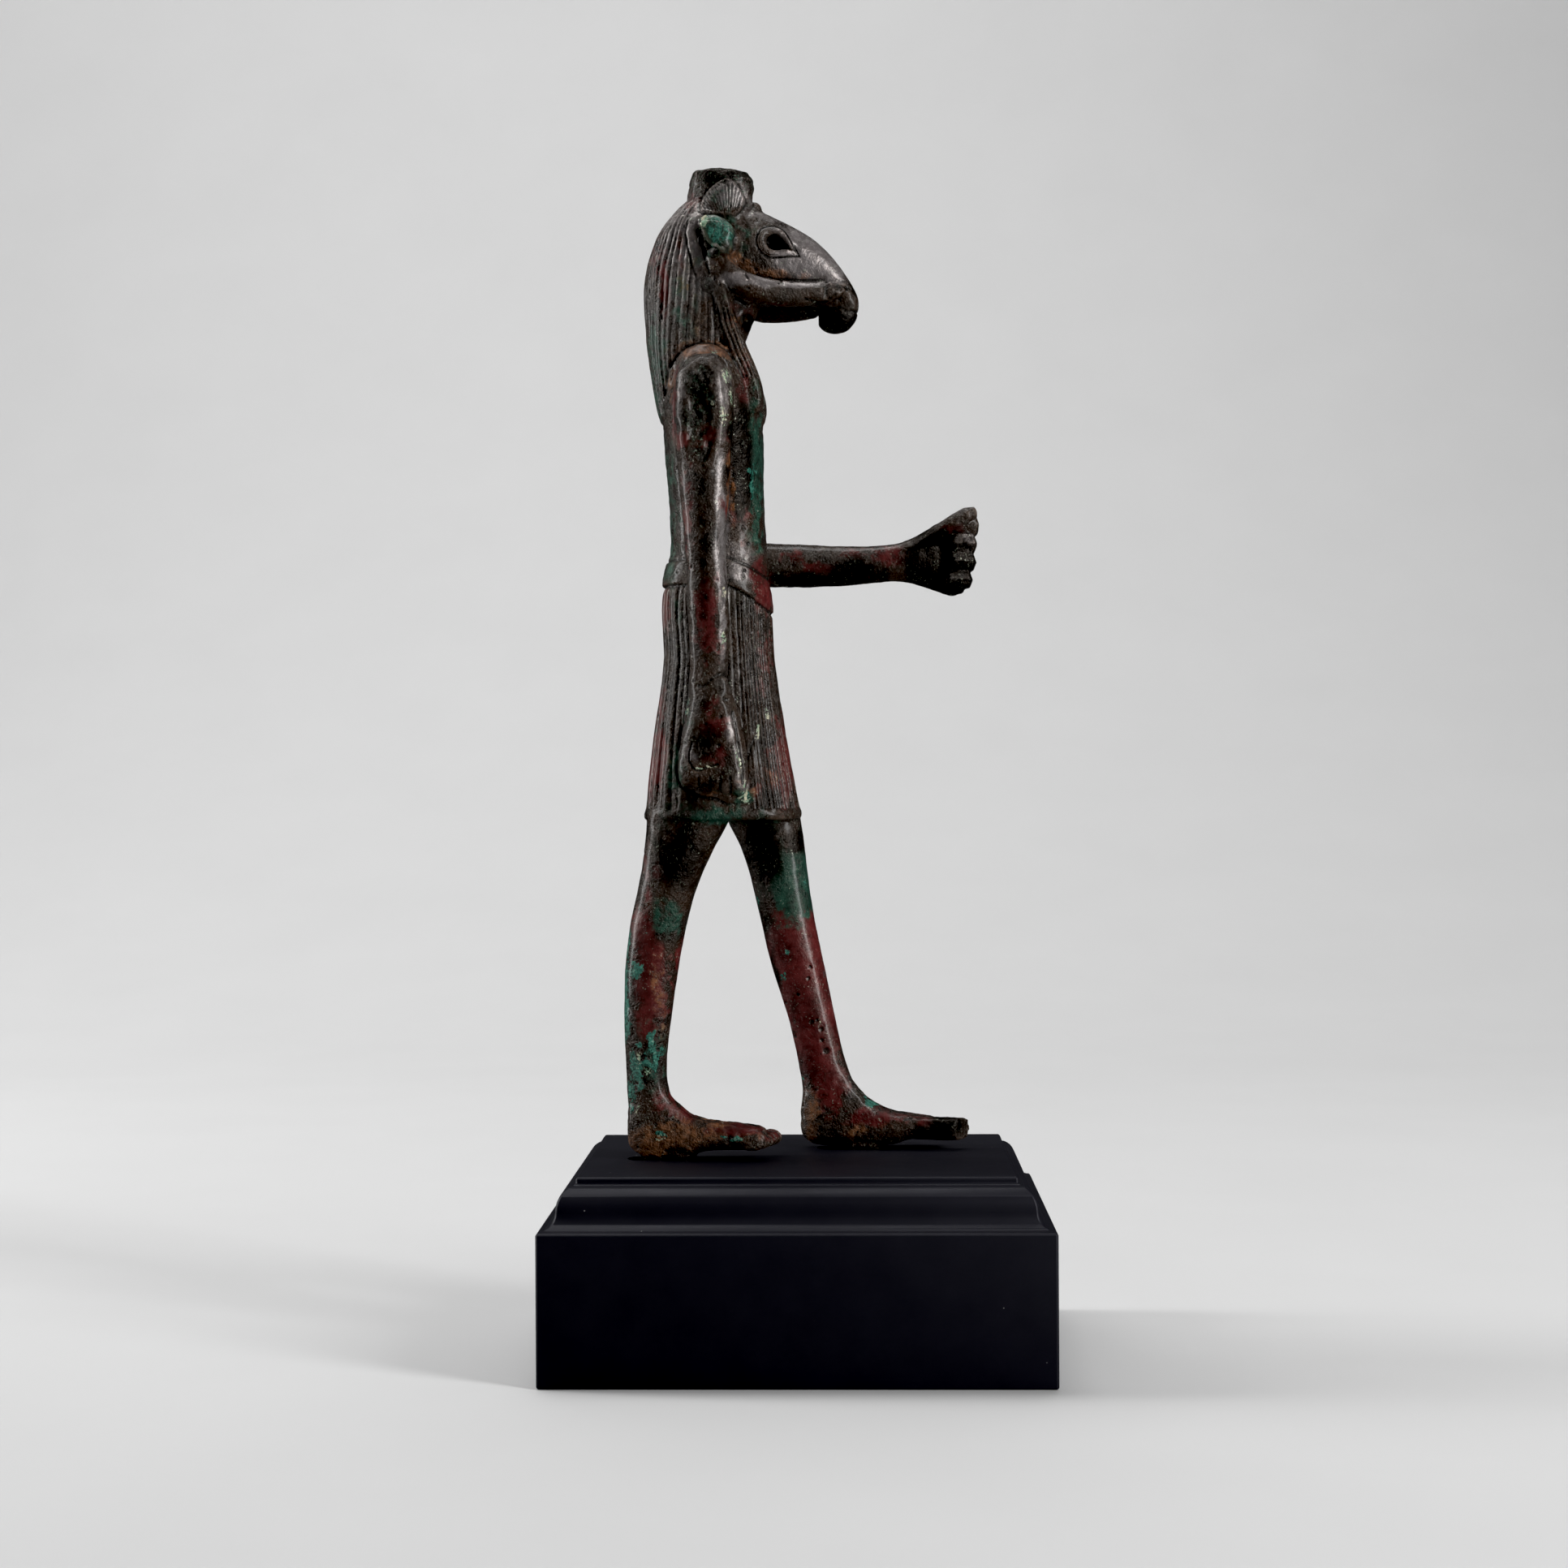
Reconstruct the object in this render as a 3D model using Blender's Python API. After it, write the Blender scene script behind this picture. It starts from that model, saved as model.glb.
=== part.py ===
"""Bronze statuette of a striding ram-headed god on its moulded black wooden base.

Metres, +Z up. The origin is the middle of the base's underside. The figure faces +X, with its left side
towards +Y. The figure is one casting: every limb is a closed shell, and the shells are united. Its tables
are drawn in millimetres for a figure of DRAWN_HEIGHT, forward of the body's axis (x), towards its left
side (y) and above the base's top (z), and are scaled to FIGURE_HEIGHT.
"""

import math

import bmesh
import bpy
from mathutils import Matrix, Vector

# Driving dimensions
FIGURE_HEIGHT = 0.2124
FIGURE_X = -0.0175
FIGURE_Y = 0.0025
TANG_LENGTH = 0.011
TANG_WIDTH = 0.0052
TANG_DEPTH = 0.011
SOCKET_CLEARANCE = 0.0003
SOCKET_END_PLAY = 0.0032

BASE_LENGTH = 0.105
BASE_WIDTH = 0.075
BLOCK_HEIGHT = 0.0313
MOULDING_HEIGHT = 0.0086
MOULDING_INSET = 0.0074
CAVETTO_RADIUS = 0.0036
SLAB_HEIGHT = 0.0016
BASE_EDGE = 0.0004

DRAWN_HEIGHT = 212.4
DRAWN = FIGURE_HEIGHT / DRAWN_HEIGHT
BASE_TOP = BLOCK_HEIGHT + MOULDING_HEIGHT + SLAB_HEIGHT
RIGHT, LEFT = -1, 1

# Colours
BRONZE = (0.045, 0.032, 0.026, 1.0)
BLACK_LACQUER = (0.009, 0.009, 0.011, 1.0)


def material(name, colour, roughness, metallic):
    made = bpy.data.materials.new(name)
    made.use_nodes = True
    shader = made.node_tree.nodes["Principled BSDF"]
    shader.inputs["Base Color"].default_value = colour
    shader.inputs["Roughness"].default_value = roughness
    shader.inputs["Metallic"].default_value = metallic
    return made


def link(mesh, name, collection=None):
    """An object of the mesh, in a collection of helpers or in the scene."""
    made = bpy.data.objects.new(name, mesh)
    (collection or bpy.context.scene.collection).objects.link(made)
    if collection:
        made.hide_render = True
        made.display_type = "WIRE"
    return made


def helpers(name):
    made = bpy.data.collections.new(name)
    bpy.context.scene.collection.children.link(made)
    return made


def boolean(target, collection, operation):
    modifier = target.modifiers.new(collection.name, "BOOLEAN")
    modifier.operation = operation
    modifier.operand_type = "COLLECTION"
    modifier.collection = collection
    modifier.solver = "MANIFOLD"


def smooth_rows(rows, steps):
    """The rows with steps - 1 more between each pair, on a Catmull-Rom curve through them."""
    if steps == 1:
        return [list(row) for row in rows]
    made = []
    for i in range(len(rows) - 1):
        before, start, end, after = rows[max(i - 1, 0)], rows[i], rows[i + 1], rows[min(i + 2, len(rows) - 1)]
        for step in range(steps):
            t = step / steps
            weights = (
                (-t + 2 * t**2 - t**3) / 2,
                (2 - 5 * t**2 + 3 * t**3) / 2,
                (t + 4 * t**2 - 3 * t**3) / 2,
                (-(t**2) + t**3) / 2,
            )
            made.append([
                sum(w * v for w, v in zip(weights, values))
                for values in zip(before, start, end, after)
            ])
    return made + [list(rows[-1])]


def between(pairs, at):
    """The value at a place, on straight lines between (place, value) pairs."""
    place = min(max(at, pairs[0][0]), pairs[-1][0])
    for (low, first), (high, last) in zip(pairs, pairs[1:]):
        if place <= high:
            return first + (last - first) * (place - low) / (high - low)
    return pairs[-1][1]


def ring(centre, along, across, half_along, half_across, sides, square):
    """Points round a superellipse: square is 2 for an ellipse, and more for a boxier outline."""
    points = []
    for i in range(sides):
        angle = math.tau * i / sides
        c, s = math.cos(angle), math.sin(angle)
        u = math.copysign(abs(c) ** (2 / square), c) * half_along
        v = math.copysign(abs(s) ** (2 / square), s) * half_across
        points.append(centre + along * u + across * v)
    return points


def flute(points, centre, depth, front=None):
    """Sinks every other point of a ring, which cuts locks or pleats, and keeps all behind x = front."""
    made = []
    for i, point in enumerate(points):
        if front is not None and point.x > front:
            narrowed = point.y * (1 - 0.03 * (point.x - front))
            made.append(Vector((front, narrowed, point.z)))
        elif i % 2:
            made.append(point - (point - centre).normalized() * depth)
        else:
            made.append(point)
    return made


def shell(name, rings, collection, shape=None):
    """A closed mesh through rings of equal length, in drawn millimetres, moved by shape."""
    mesh = bpy.data.meshes.new(name)
    body = bmesh.new()
    rows = [
        [body.verts.new(shape(point) if shape else point) for point in points]
        for points in rings
    ]
    sides = len(rows[0])
    for low, high in zip(rows, rows[1:]):
        for i in range(sides):
            j = (i + 1) % sides
            body.faces.new((low[i], low[j], high[j], high[i]))
    body.faces.new(reversed(rows[0]))
    body.faces.new(rows[-1])
    bmesh.ops.triangulate(body, faces=[f for f in body.faces if len(f.verts) > 4])
    bmesh.ops.recalc_face_normals(body, faces=body.faces)
    body.to_mesh(mesh)
    body.free()
    mesh.transform(Matrix.Scale(DRAWN, 4))
    return link(mesh, name, collection)


def upright(name, rows, collection, sides, square=2.0, steps=1, fluting=0.0, shape=None, fronts=None):
    """A shell of level sections. A row is (z, back, front, half width, y)."""
    rings = []
    for z, back, front, half, y in smooth_rows(rows, steps):
        centre = Vector(((back + front) / 2, y, z))
        points = ring(centre, Vector((1, 0, 0)), Vector((0, 1, 0)), (front - back) / 2, half, sides, square)
        limit = between(fronts, z) if fronts else None
        rings.append(flute(points, centre, fluting, limit) if fluting else points)
    return shell(name, rings, collection, shape)


def lengthwise(name, rows, collection, sides, square=2.0, steps=1, shape=None):
    """A shell of sections across X. A row is (x, bottom, top, half width, y)."""
    rings = [
        ring(
            Vector((x, y, (bottom + top) / 2)),
            Vector((0, 0, 1)), Vector((0, 1, 0)), (top - bottom) / 2, half, sides, square,
        )
        for x, bottom, top, half, y in smooth_rows(rows, steps)
    ]
    return shell(name, rings, collection, shape)


def swept(name, rows, collection, sides, side_axis, square=2.0, steps=1, fluting=0.0):
    """A shell along a path. A row is (x, y, z, half depth, half width), the width along side_axis."""
    rows = smooth_rows(rows, steps)
    places = [Vector(row[:3]) for row in rows]
    rings = []
    for i, (place, row) in enumerate(zip(places, rows)):
        ahead = (places[min(i + 1, len(rows) - 1)] - places[max(i - 1, 0)]).normalized()
        depth_axis = side_axis.cross(ahead).normalized()
        width_axis = ahead.cross(depth_axis)
        points = ring(place, depth_axis, width_axis, row[3], row[4], sides, square)
        rings.append(flute(points, place, fluting) if fluting else points)
    return shell(name, rings, collection)


def lump(name, centre, radii, collection, segments=12, turn=0.0):
    """An ellipsoid, turned about its own Y by turn degrees."""
    mesh = bpy.data.meshes.new(name)
    body = bmesh.new()
    bmesh.ops.create_uvsphere(body, u_segments=segments, v_segments=segments // 2 + 1, radius=1.0)
    body.to_mesh(mesh)
    body.free()
    place = Matrix.Translation(centre) @ Matrix.Rotation(math.radians(turn), 4, "Y")
    mesh.transform(Matrix.Scale(DRAWN, 4) @ place @ Matrix.Diagonal((*radii, 1)))
    return link(mesh, name, collection)


def torso(parts):
    rows = (
        (174.2, -4.2, 3.0, 10.5, 0), (172.8, -7.2, 5.4, 16.0, 0), (169.4, -9.2, 7.6, 18.8, 0),
        (164.0, -10.3, 9.2, 19.4, 0), (158.0, -11.1, 10.2, 18.0, 0), (152.0, -10.7, 10.6, 16.0, 0),
        (144.0, -10.1, 10.5, 14.0, 0), (138.0, -9.7, 10.7, 12.9, 0), (132.0, -9.4, 11.1, 12.9, 0),
        (124.0, -10.2, 11.6, 13.4, 0), (118.0, -10.5, 11.8, 13.6, 0),
    )
    upright("torso", rows, parts, sides=22, square=2.5)
    for side in (RIGHT, LEFT):
        lump("pectoral", (6.0, side * 6.4, 158.8), (4.6, 5.6, 4.8), parts, segments=8)


def belt_dip(point):
    """The belt runs level round the back and dips in front of the hips."""
    lead = min(max((point.x - 2.5) / 10.0, 0.0), 1.0)
    return Vector((point.x, point.y, point.z - 5.4 * lead**1.2))


def stride_skew(point):
    """The skirt's back follows the right leg and its front the left one."""
    share = min(max((124.0 - point.z) / 50.0, 0.0), 1.0)
    return Vector((point.x, point.y + 0.11 * share * point.x, point.z))


def kilt(parts):
    skirt = (
        (123.4, -9.4, 10.4, 12.4, 0), (121.4, -11.5, 12.1, 14.4, 0), (116.0, -11.8, 12.3, 14.6, 0),
        (107.0, -11.0, 12.7, 14.4, 0), (99.0, -12.3, 13.8, 14.2, 0), (87.0, -14.1, 15.7, 14.2, 0),
        (73.7, -15.3, 18.0, 14.2, 0),
    )
    upright("kilt", skirt, parts, sides=44, square=2.6, fluting=0.5, shape=stride_skew)
    belt = (
        (128.4, -9.6, 10.9, 13.0, 0), (127.9, -10.5, 11.6, 13.8, 0),
        (122.7, -11.6, 12.5, 14.6, 0), (122.1, -11.1, 12.0, 14.0, 0),
    )
    upright("belt", belt, parts, sides=24, square=2.5, shape=belt_dip)
    hem = (
        (74.2, -15.1, 17.8, 14.0, 0), (74.0, -15.6, 18.3, 14.5, 0),
        (72.6, -15.5, 18.2, 14.4, 0), (72.4, -15.0, 17.7, 13.9, 0),
    )
    upright("hem", hem, parts, sides=28, square=2.6, shape=stride_skew)


def wig(parts):
    """The hair stops at the face and behind the shoulders, along a line given as (z, x)."""
    hairline = (
        (158.0, -8.6), (166.0, -8.2), (171.0, -6.0), (172.4, 1.0), (174.0, 4.2), (180.0, 2.2),
        (184.5, 2.8), (188.4, 1.0), (192.6, -1.4), (196.0, -2.0), (200.6, -0.6), (203.0, 4.0), (208.0, 8.0),
    )
    hair = (
        (206.0, -5.4, 7.0, 5.4, 0), (204.0, -7.9, 10.0, 8.4, 0),
        (199.8, -11.6, 12.0, 11.0, 0), (195.0, -13.5, 13.0, 12.2, 0), (189.5, -15.1, 13.0, 13.2, 0),
        (183.0, -15.2, 13.0, 14.0, 0), (177.0, -14.7, 12.0, 15.0, 0), (173.8, -14.5, 11.0, 15.4, 0),
        (172.0, -14.2, 10.0, 15.4, 0), (169.6, -14.0, 9.0, 15.3, 0), (158.2, -12.1, 6.0, 14.2, 0),
    )
    upright("hair", hair, parts, sides=42, square=2.4, fluting=0.45, fronts=hairline)
    lappet = (
        (1.0, 11.2, 188.0, 1.6, 2.4), (2.2, 11.6, 183.0, 2.0, 3.2), (3.6, 11.6, 177.0, 2.2, 3.9),
        (5.6, 11.0, 171.5, 2.3, 4.2), (7.8, 10.0, 166.5, 2.3, 4.4), (9.0, 9.2, 162.4, 2.3, 4.4),
        (8.8, 8.8, 159.2, 1.9, 4.2),
    )
    for side in (RIGHT, LEFT):
        rows = [(x, side * y, z, depth, width) for x, y, z, depth, width in lappet]
        swept("lappet", rows, parts, 12, Vector((0, 1, 0)), square=2.8, fluting=0.35)


def head(parts):
    skull = (
        (-4.0, 190.0, 202.0, 6.0, 0), (0.0, 186.0, 204.6, 9.2, 0), (5.0, 184.8, 205.2, 9.6, 0),
        (10.0, 184.2, 203.8, 9.2, 0), (14.0, 183.9, 202.0, 8.1, 0), (18.0, 183.6, 200.0, 6.9, 0),
        (21.4, 183.2, 197.9, 6.0, 0), (24.2, 182.4, 195.4, 5.2, 0), (27.0, 181.6, 192.1, 4.5, 0),
        (29.2, 180.9, 188.8, 3.8, 0), (30.6, 180.8, 186.2, 3.0, 0), (31.2, 182.4, 184.6, 1.4, 0),
    )
    lengthwise("skull", skull, parts, sides=16, square=2.2)
    neck = (
        (190.0, -6.0, 9.5, 6.8, 0), (183.6, -6.0, 10.4, 6.4, 0), (179.0, -6.0, 8.2, 6.8, 0),
        (174.7, -6.0, 6.4, 7.4, 0), (168.0, -6.0, 6.8, 9.0, 0),
    )
    upright("neck", neck, parts, sides=14)
    chin = (
        (22.8, 179.0, 182.6, 2.2, 0), (24.2, 177.7, 184.0, 3.3, 0), (26.6, 177.2, 184.6, 3.7, 0),
        (28.8, 177.7, 184.6, 3.5, 0), (30.3, 179.3, 184.2, 2.7, 0), (31.0, 181.0, 183.2, 1.3, 0),
    )
    lengthwise("chin", chin, parts, sides=12, square=2.3)
    lump("forehead_knob", (9.0, 0, 204.0), (1.7, 1.7, 1.9), parts, segments=8)
    for side in (RIGHT, LEFT):
        lump("horn_boss", (2.6, side * 5.4, 202.4), (5.3, 4.0, 6.2), parts, segments=10)
        lump("brow", (13.6, side * 5.9, 195.6), (4.6, 2.6, 3.4), parts, segments=8, turn=24)


def horns(parts):
    curl = (
        (3.4, 9.6, 196.0, 1.5, 1.6), (2.2, 11.3, 192.8, 1.8, 1.8), (2.9, 12.0, 189.6, 2.2, 2.2),
        (5.2, 12.0, 186.8, 2.6, 2.5), (8.8, 11.0, 184.9, 2.9, 2.7), (13.4, 9.6, 184.2, 2.85, 2.6),
        (18.4, 8.2, 184.2, 2.65, 2.4), (23.4, 6.9, 184.7, 2.3, 2.2), (26.9, 6.2, 185.4, 1.8, 1.7),
        (28.3, 5.9, 185.7, 1.0, 1.0),
    )
    for side in (RIGHT, LEFT):
        rows = [(x, side * y, z, depth, width) for x, y, z, depth, width in curl]
        swept("horn", rows, parts, 10, Vector((0, 1, 0)))


def ears(parts):
    leaf = (
        (5.6, 9.4, 194.4, 1.2, 1.8), (4.4, 11.0, 194.4, 1.6, 3.0), (2.4, 12.6, 194.9, 1.5, 3.7),
        (0.2, 13.9, 196.0, 1.2, 3.2), (-1.6, 14.7, 197.3, 0.8, 1.9), (-2.3, 14.9, 197.9, 0.3, 0.6),
    )
    for side in (RIGHT, LEFT):
        rows = [(x, side * y, z, depth, width) for x, y, z, depth, width in leaf]
        lump("ear_root", (2.8, side * 10.2, 195.2), (2.6, 2.4, 2.6), parts, segments=8)
        swept("ear", rows, parts, 10, Vector((0.35, 0.1 * side, 1.0)).normalized())


def crown_stub(parts):
    rows = (
        (200.0, -5.2, 8.0, 5.6, 0), (204.6, -5.4, 8.0, 5.9, 0), (207.4, -5.4, 8.6, 6.1, 0),
        (210.1, -5.1, 9.0, 6.3, 0), (211.6, -4.5, 7.9, 5.7, 0), (212.4, -3.0, 5.8, 4.2, 0),
    )
    upright("crown_stub", rows, parts, sides=16, square=2.4)


def right_arm(parts):
    """It hangs at the side, and the closed hand lies on the kilt."""
    rows = (
        (169.5, -2.4, 1.4, 1.6, -20.6), (168.3, -5.0, 3.2, 3.4, -20.8), (165.6, -6.8, 4.5, 4.7, -21.0),
        (160.0, -7.6, 5.3, 5.3, -21.2), (152.0, -7.3, 4.9, 5.2, -21.2), (144.6, -6.6, 4.3, 4.8, -21.0),
        (138.0, -6.0, 3.9, 4.5, -20.7), (131.0, -5.3, 3.0, 4.2, -20.4), (125.0, -4.9, 3.3, 4.2, -20.0),
        (117.0, -4.8, 3.8, 4.2, -19.4), (109.0, -4.5, 3.9, 3.8, -18.8), (104.0, -4.3, 3.3, 3.5, -18.4),
        (98.5, -5.1, 3.6, 4.1, -17.8), (92.5, -6.1, 4.8, 4.8, -17.6), (86.5, -6.9, 6.0, 5.0, -17.6),
        (82.0, -6.6, 6.4, 4.4, -17.3), (79.6, -5.6, 5.8, 3.4, -17.0),
    )
    upright("right_arm", rows, parts, sides=14, square=2.2)
    thumb = (
        (2.0, -20.0, 102.0, 1.3, 1.5), (3.6, -20.6, 96.0, 1.9, 2.0), (5.0, -20.8, 90.0, 2.1, 2.2),
        (5.9, -20.3, 84.0, 2.0, 2.2), (5.9, -19.6, 79.4, 1.7, 1.9), (5.6, -19.0, 76.9, 0.7, 0.9),
    )
    swept("right_thumb", thumb, parts, 7, Vector((0, 1, 0)))
    for i in range(4):
        x = 3.2 - 2.85 * i
        bottom = 76.6 - 0.26 * (x - 4.4)
        finger = (
            (x, -20.4, bottom + 8.4, 1.4, 1.6), (x, -21.0, bottom + 5.2, 1.8, 1.8),
            (x, -20.0, bottom + 2.4, 1.9, 1.8), (x, -17.4, bottom + 1.9, 1.8, 1.8),
            (x, -15.4, bottom + 4.2, 1.4, 1.5),
        )
        swept("right_finger", finger, parts, 7, Vector((1, 0, 0)))


def left_arm(parts):
    """It is bent at the elbow, and the hand is closed on a staff that is lost."""
    upper = (
        (169.5, -2.4, 1.4, 1.6, 20.6), (168.3, -5.0, 3.2, 3.4, 20.8), (165.6, -6.8, 4.5, 4.7, 21.0),
        (160.0, -7.6, 5.3, 5.3, 21.2), (152.0, -7.3, 4.9, 5.2, 21.2), (144.6, -6.8, 4.3, 4.8, 21.4),
        (138.0, -6.6, 4.0, 4.6, 21.7), (131.5, -6.4, 3.8, 4.5, 22.0), (127.0, -5.2, 3.4, 4.0, 22.1),
        (124.7, -2.6, 2.0, 2.2, 22.2),
    )
    upright("left_upper_arm", upper, parts, sides=14, square=2.2)
    forearm = (
        (-5.6, 126.6, 131.8, 2.4, 22.1), (-3.0, 124.9, 133.6, 4.0, 22.1), (4.0, 124.3, 134.4, 4.4, 22.2),
        (14.0, 124.2, 134.1, 4.4, 22.3), (26.0, 124.3, 133.4, 4.1, 22.5), (34.0, 125.1, 133.3, 3.8, 22.6),
        (39.6, 125.6, 133.7, 3.5, 22.7), (43.5, 125.1, 135.1, 3.5, 22.9), (48.0, 123.9, 137.6, 3.3, 23.6),
        (52.0, 122.9, 139.4, 2.9, 24.3), (54.6, 123.6, 138.9, 2.0, 24.6),
    )
    lengthwise("left_forearm", forearm, parts, sides=14, square=2.2)
    thumb = (
        (43.0, 21.8, 132.2, 1.4, 1.8), (47.6, 21.0, 134.9, 1.9, 2.2), (52.0, 20.6, 137.3, 2.0, 2.2),
        (55.4, 20.8, 139.4, 1.8, 2.0), (57.2, 21.2, 140.1, 1.0, 1.1),
    )
    swept("left_thumb", thumb, parts, 7, Vector((0, 1, 0)))
    for i, (front, z) in enumerate(((58.3, 137.4), (57.7, 133.6), (57.5, 129.9), (56.7, 126.2))):
        reach = front - 1.9
        half = 2.3 - 0.08 * i
        finger = (
            (reach - 5.0, 25.9, z, 1.5, half - 0.3), (reach - 1.6, 26.1, z, 1.7, half),
            (reach, 24.0, z, 2.0, half), (reach, 21.6, z, 1.9, half),
            (reach - 4.4, 19.8, z, 1.5, half - 0.3),
        )
        swept("left_finger", finger, parts, 7, Vector((0, 0, 1)))


def legs(parts):
    rear = (
        (82.0, -11.0, 2.0, 5.0), (75.0, -14.2, 4.0, 5.7), (71.0, -14.8, 2.5, 5.9), (67.2, -15.1, 0.3, 5.8),
        (62.0, -15.6, -2.3, 5.7), (56.8, -16.8, -4.4, 5.5), (50.0, -18.4, -6.2, 5.4),
        (43.0, -19.3, -7.6, 5.2), (36.0, -19.6, -8.7, 5.0), (29.0, -19.7, -9.8, 4.6),
        (22.0, -19.4, -10.6, 4.1), (17.0, -19.2, -10.7, 3.8), (12.0, -19.0, -9.6, 3.8), (5.0, -18.0, -9.0, 3.8),
    )
    upright("rear_leg", [(*row, -7.5) for row in rear], parts, sides=14, square=2.1)
    front = (
        (82.0, 2.0, 14.0, 5.0), (75.0, 1.4, 17.4, 5.7), (71.0, 2.2, 18.2, 5.9), (66.5, 4.7, 18.9, 5.8),
        (61.0, 6.5, 19.4, 5.7), (56.0, 7.7, 20.1, 5.5), (49.0, 9.4, 21.2, 5.4), (42.0, 10.8, 22.6, 5.2),
        (34.6, 13.1, 24.1, 5.0), (27.4, 15.5, 25.7, 4.5), (20.3, 16.9, 27.1, 4.1),
        (15.0, 17.9, 29.0, 3.8), (8.0, 18.6, 29.0, 3.8),
    )
    upright("front_leg", [(*row, 7.5) for row in front], parts, sides=14, square=2.1)


def feet(parts):
    """Both heels reach the base, and the foreparts stand a little clear of it."""
    rear = (
        (-19.0, 4.0, 9.0, 1.4), (-18.5, 2.2, 12.4, 3.0), (-16.2, 0.6, 15.2, 3.9), (-13.0, 0.3, 15.8, 4.1),
        (-8.6, 0.3, 12.2, 4.1), (-5.6, 0.5, 9.5, 4.2), (-3.4, 1.5, 8.7, 4.2), (0.4, 1.9, 8.0, 4.5),
        (5.0, 1.9, 7.5, 4.7), (8.0, 2.0, 7.1, 4.8), (10.4, 2.3, 6.2, 4.5),
    )
    lengthwise("rear_foot", [(*row, -7.5) for row in rear], parts, sides=12, square=2.5)
    front = (
        (17.9, 3.6, 9.0, 1.4), (18.5, 2.0, 12.6, 3.0), (20.8, 0.6, 15.6, 3.9), (24.0, 0.3, 17.6, 4.1),
        (27.4, 0.3, 16.8, 4.1), (29.6, 0.3, 14.2, 4.0), (32.0, 0.3, 11.2, 4.0), (35.6, 0.4, 8.8, 4.1),
        (38.6, 0.9, 7.9, 4.4), (41.0, 2.0, 7.5, 4.7), (46.4, 2.2, 6.8, 4.7), (48.4, 2.6, 6.0, 4.4),
    )
    lengthwise("front_foot", [(*row, 7.5) for row in front], parts, sides=12, square=2.5)
    for i in range(5):
        y = -3.6 - 1.95 * i
        reach = 14.5 - 0.85 * i
        radius = 1.5 - 0.09 * i
        lump("toe", (reach - 3.4, y, 3.9 - 0.12 * i), (3.4, radius, radius + 0.25), parts, segments=6)
    big_toe = (
        (42.0, 2.2, 6.9, 2.0, 4.8), (48.0, 2.0, 6.9, 2.2, 4.5), (55.2, 2.1, 6.9, 2.3, 4.3),
    )
    lengthwise("broken_toe", big_toe, parts, sides=12, square=2.3)


def cuts(parts):
    """What is lost or sunk: the inlaid eyes, the flaw at the right shoulder, and the broken toe's face."""
    for side in (RIGHT, LEFT):
        lump("eye_socket", (13.8, side * 9.0, 195.6), (3.0, 3.2, 2.1), parts, segments=10, turn=24)
    lump("shoulder_flaw", (-1.7, -27.0, 156.0), (4.0, 2.3, 11.6), parts, segments=10)
    block = bpy.data.meshes.new("toe_break")
    body = bmesh.new()
    bmesh.ops.create_cube(body, size=12.0)
    body.to_mesh(block)
    body.free()
    place = Matrix.Translation((60.6, 5.0, 4.0)) @ Matrix.Rotation(math.radians(-30), 4, "Z")
    block.transform(Matrix.Scale(DRAWN, 4) @ place)
    link(block, "toe_break", parts)


def mortise(name, length, width, top, bottom, collection, corner=4):
    """An upright block with round ends, for a tang's hole."""
    mesh = bpy.data.meshes.new(name)
    body = bmesh.new()
    outline = []
    for end in (1, -1):
        for step in range(2 * corner + 1):
            angle = math.pi * (step / (2 * corner) - 0.5) + (0 if end > 0 else math.pi)
            x = end * (length - width) / 2 + math.cos(angle) * width / 2
            outline.append((x, math.sin(angle) * width / 2))
    low = [body.verts.new((x, y, bottom)) for x, y in outline]
    high = [body.verts.new((x, y, top)) for x, y in outline]
    for i in range(len(outline)):
        j = (i + 1) % len(outline)
        body.faces.new((low[i], low[j], high[j], high[i]))
    body.faces.new(reversed(low))
    body.faces.new(high)
    body.to_mesh(mesh)
    body.free()
    return link(mesh, name, collection)


def tang_places():
    """Where each foot's tang stands, from the figure's axis."""
    return [
        Vector((FIGURE_X + x * DRAWN, FIGURE_Y + y * DRAWN, 0))
        for x, y in ((-10.4, -7.5), (30.0, 7.5))
    ]


def statuette():
    parts = helpers("figure_shells")
    torso(parts)
    kilt(parts)
    wig(parts)
    head(parts)
    horns(parts)
    ears(parts)
    crown_stub(parts)
    right_arm(parts)
    left_arm(parts)
    legs(parts)
    feet(parts)
    place = Vector((FIGURE_X, FIGURE_Y, BASE_TOP))
    for part in parts.objects:
        part.location = place
    waste = helpers("figure_cuts")
    cuts(waste)
    for part in waste.objects:
        part.location = place
    tangs = helpers("figure_tangs")
    for spot in tang_places():
        tang = mortise("tang", TANG_LENGTH, TANG_WIDTH, BASE_TOP + 1.6 * DRAWN, BASE_TOP - TANG_DEPTH, tangs)
        tang.location = spot

    trunk = parts.objects["torso"]
    parts.objects.unlink(trunk)
    bpy.context.scene.collection.objects.link(trunk)
    trunk.name = "statuette"
    trunk.hide_render = False
    trunk.display_type = "TEXTURED"
    boolean(trunk, parts, "UNION")
    boolean(trunk, waste, "DIFFERENCE")
    boolean(trunk, tangs, "UNION")
    trunk.data.materials.append(material("patinated_bronze", BRONZE, 0.42, 0.55))
    return trunk


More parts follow.
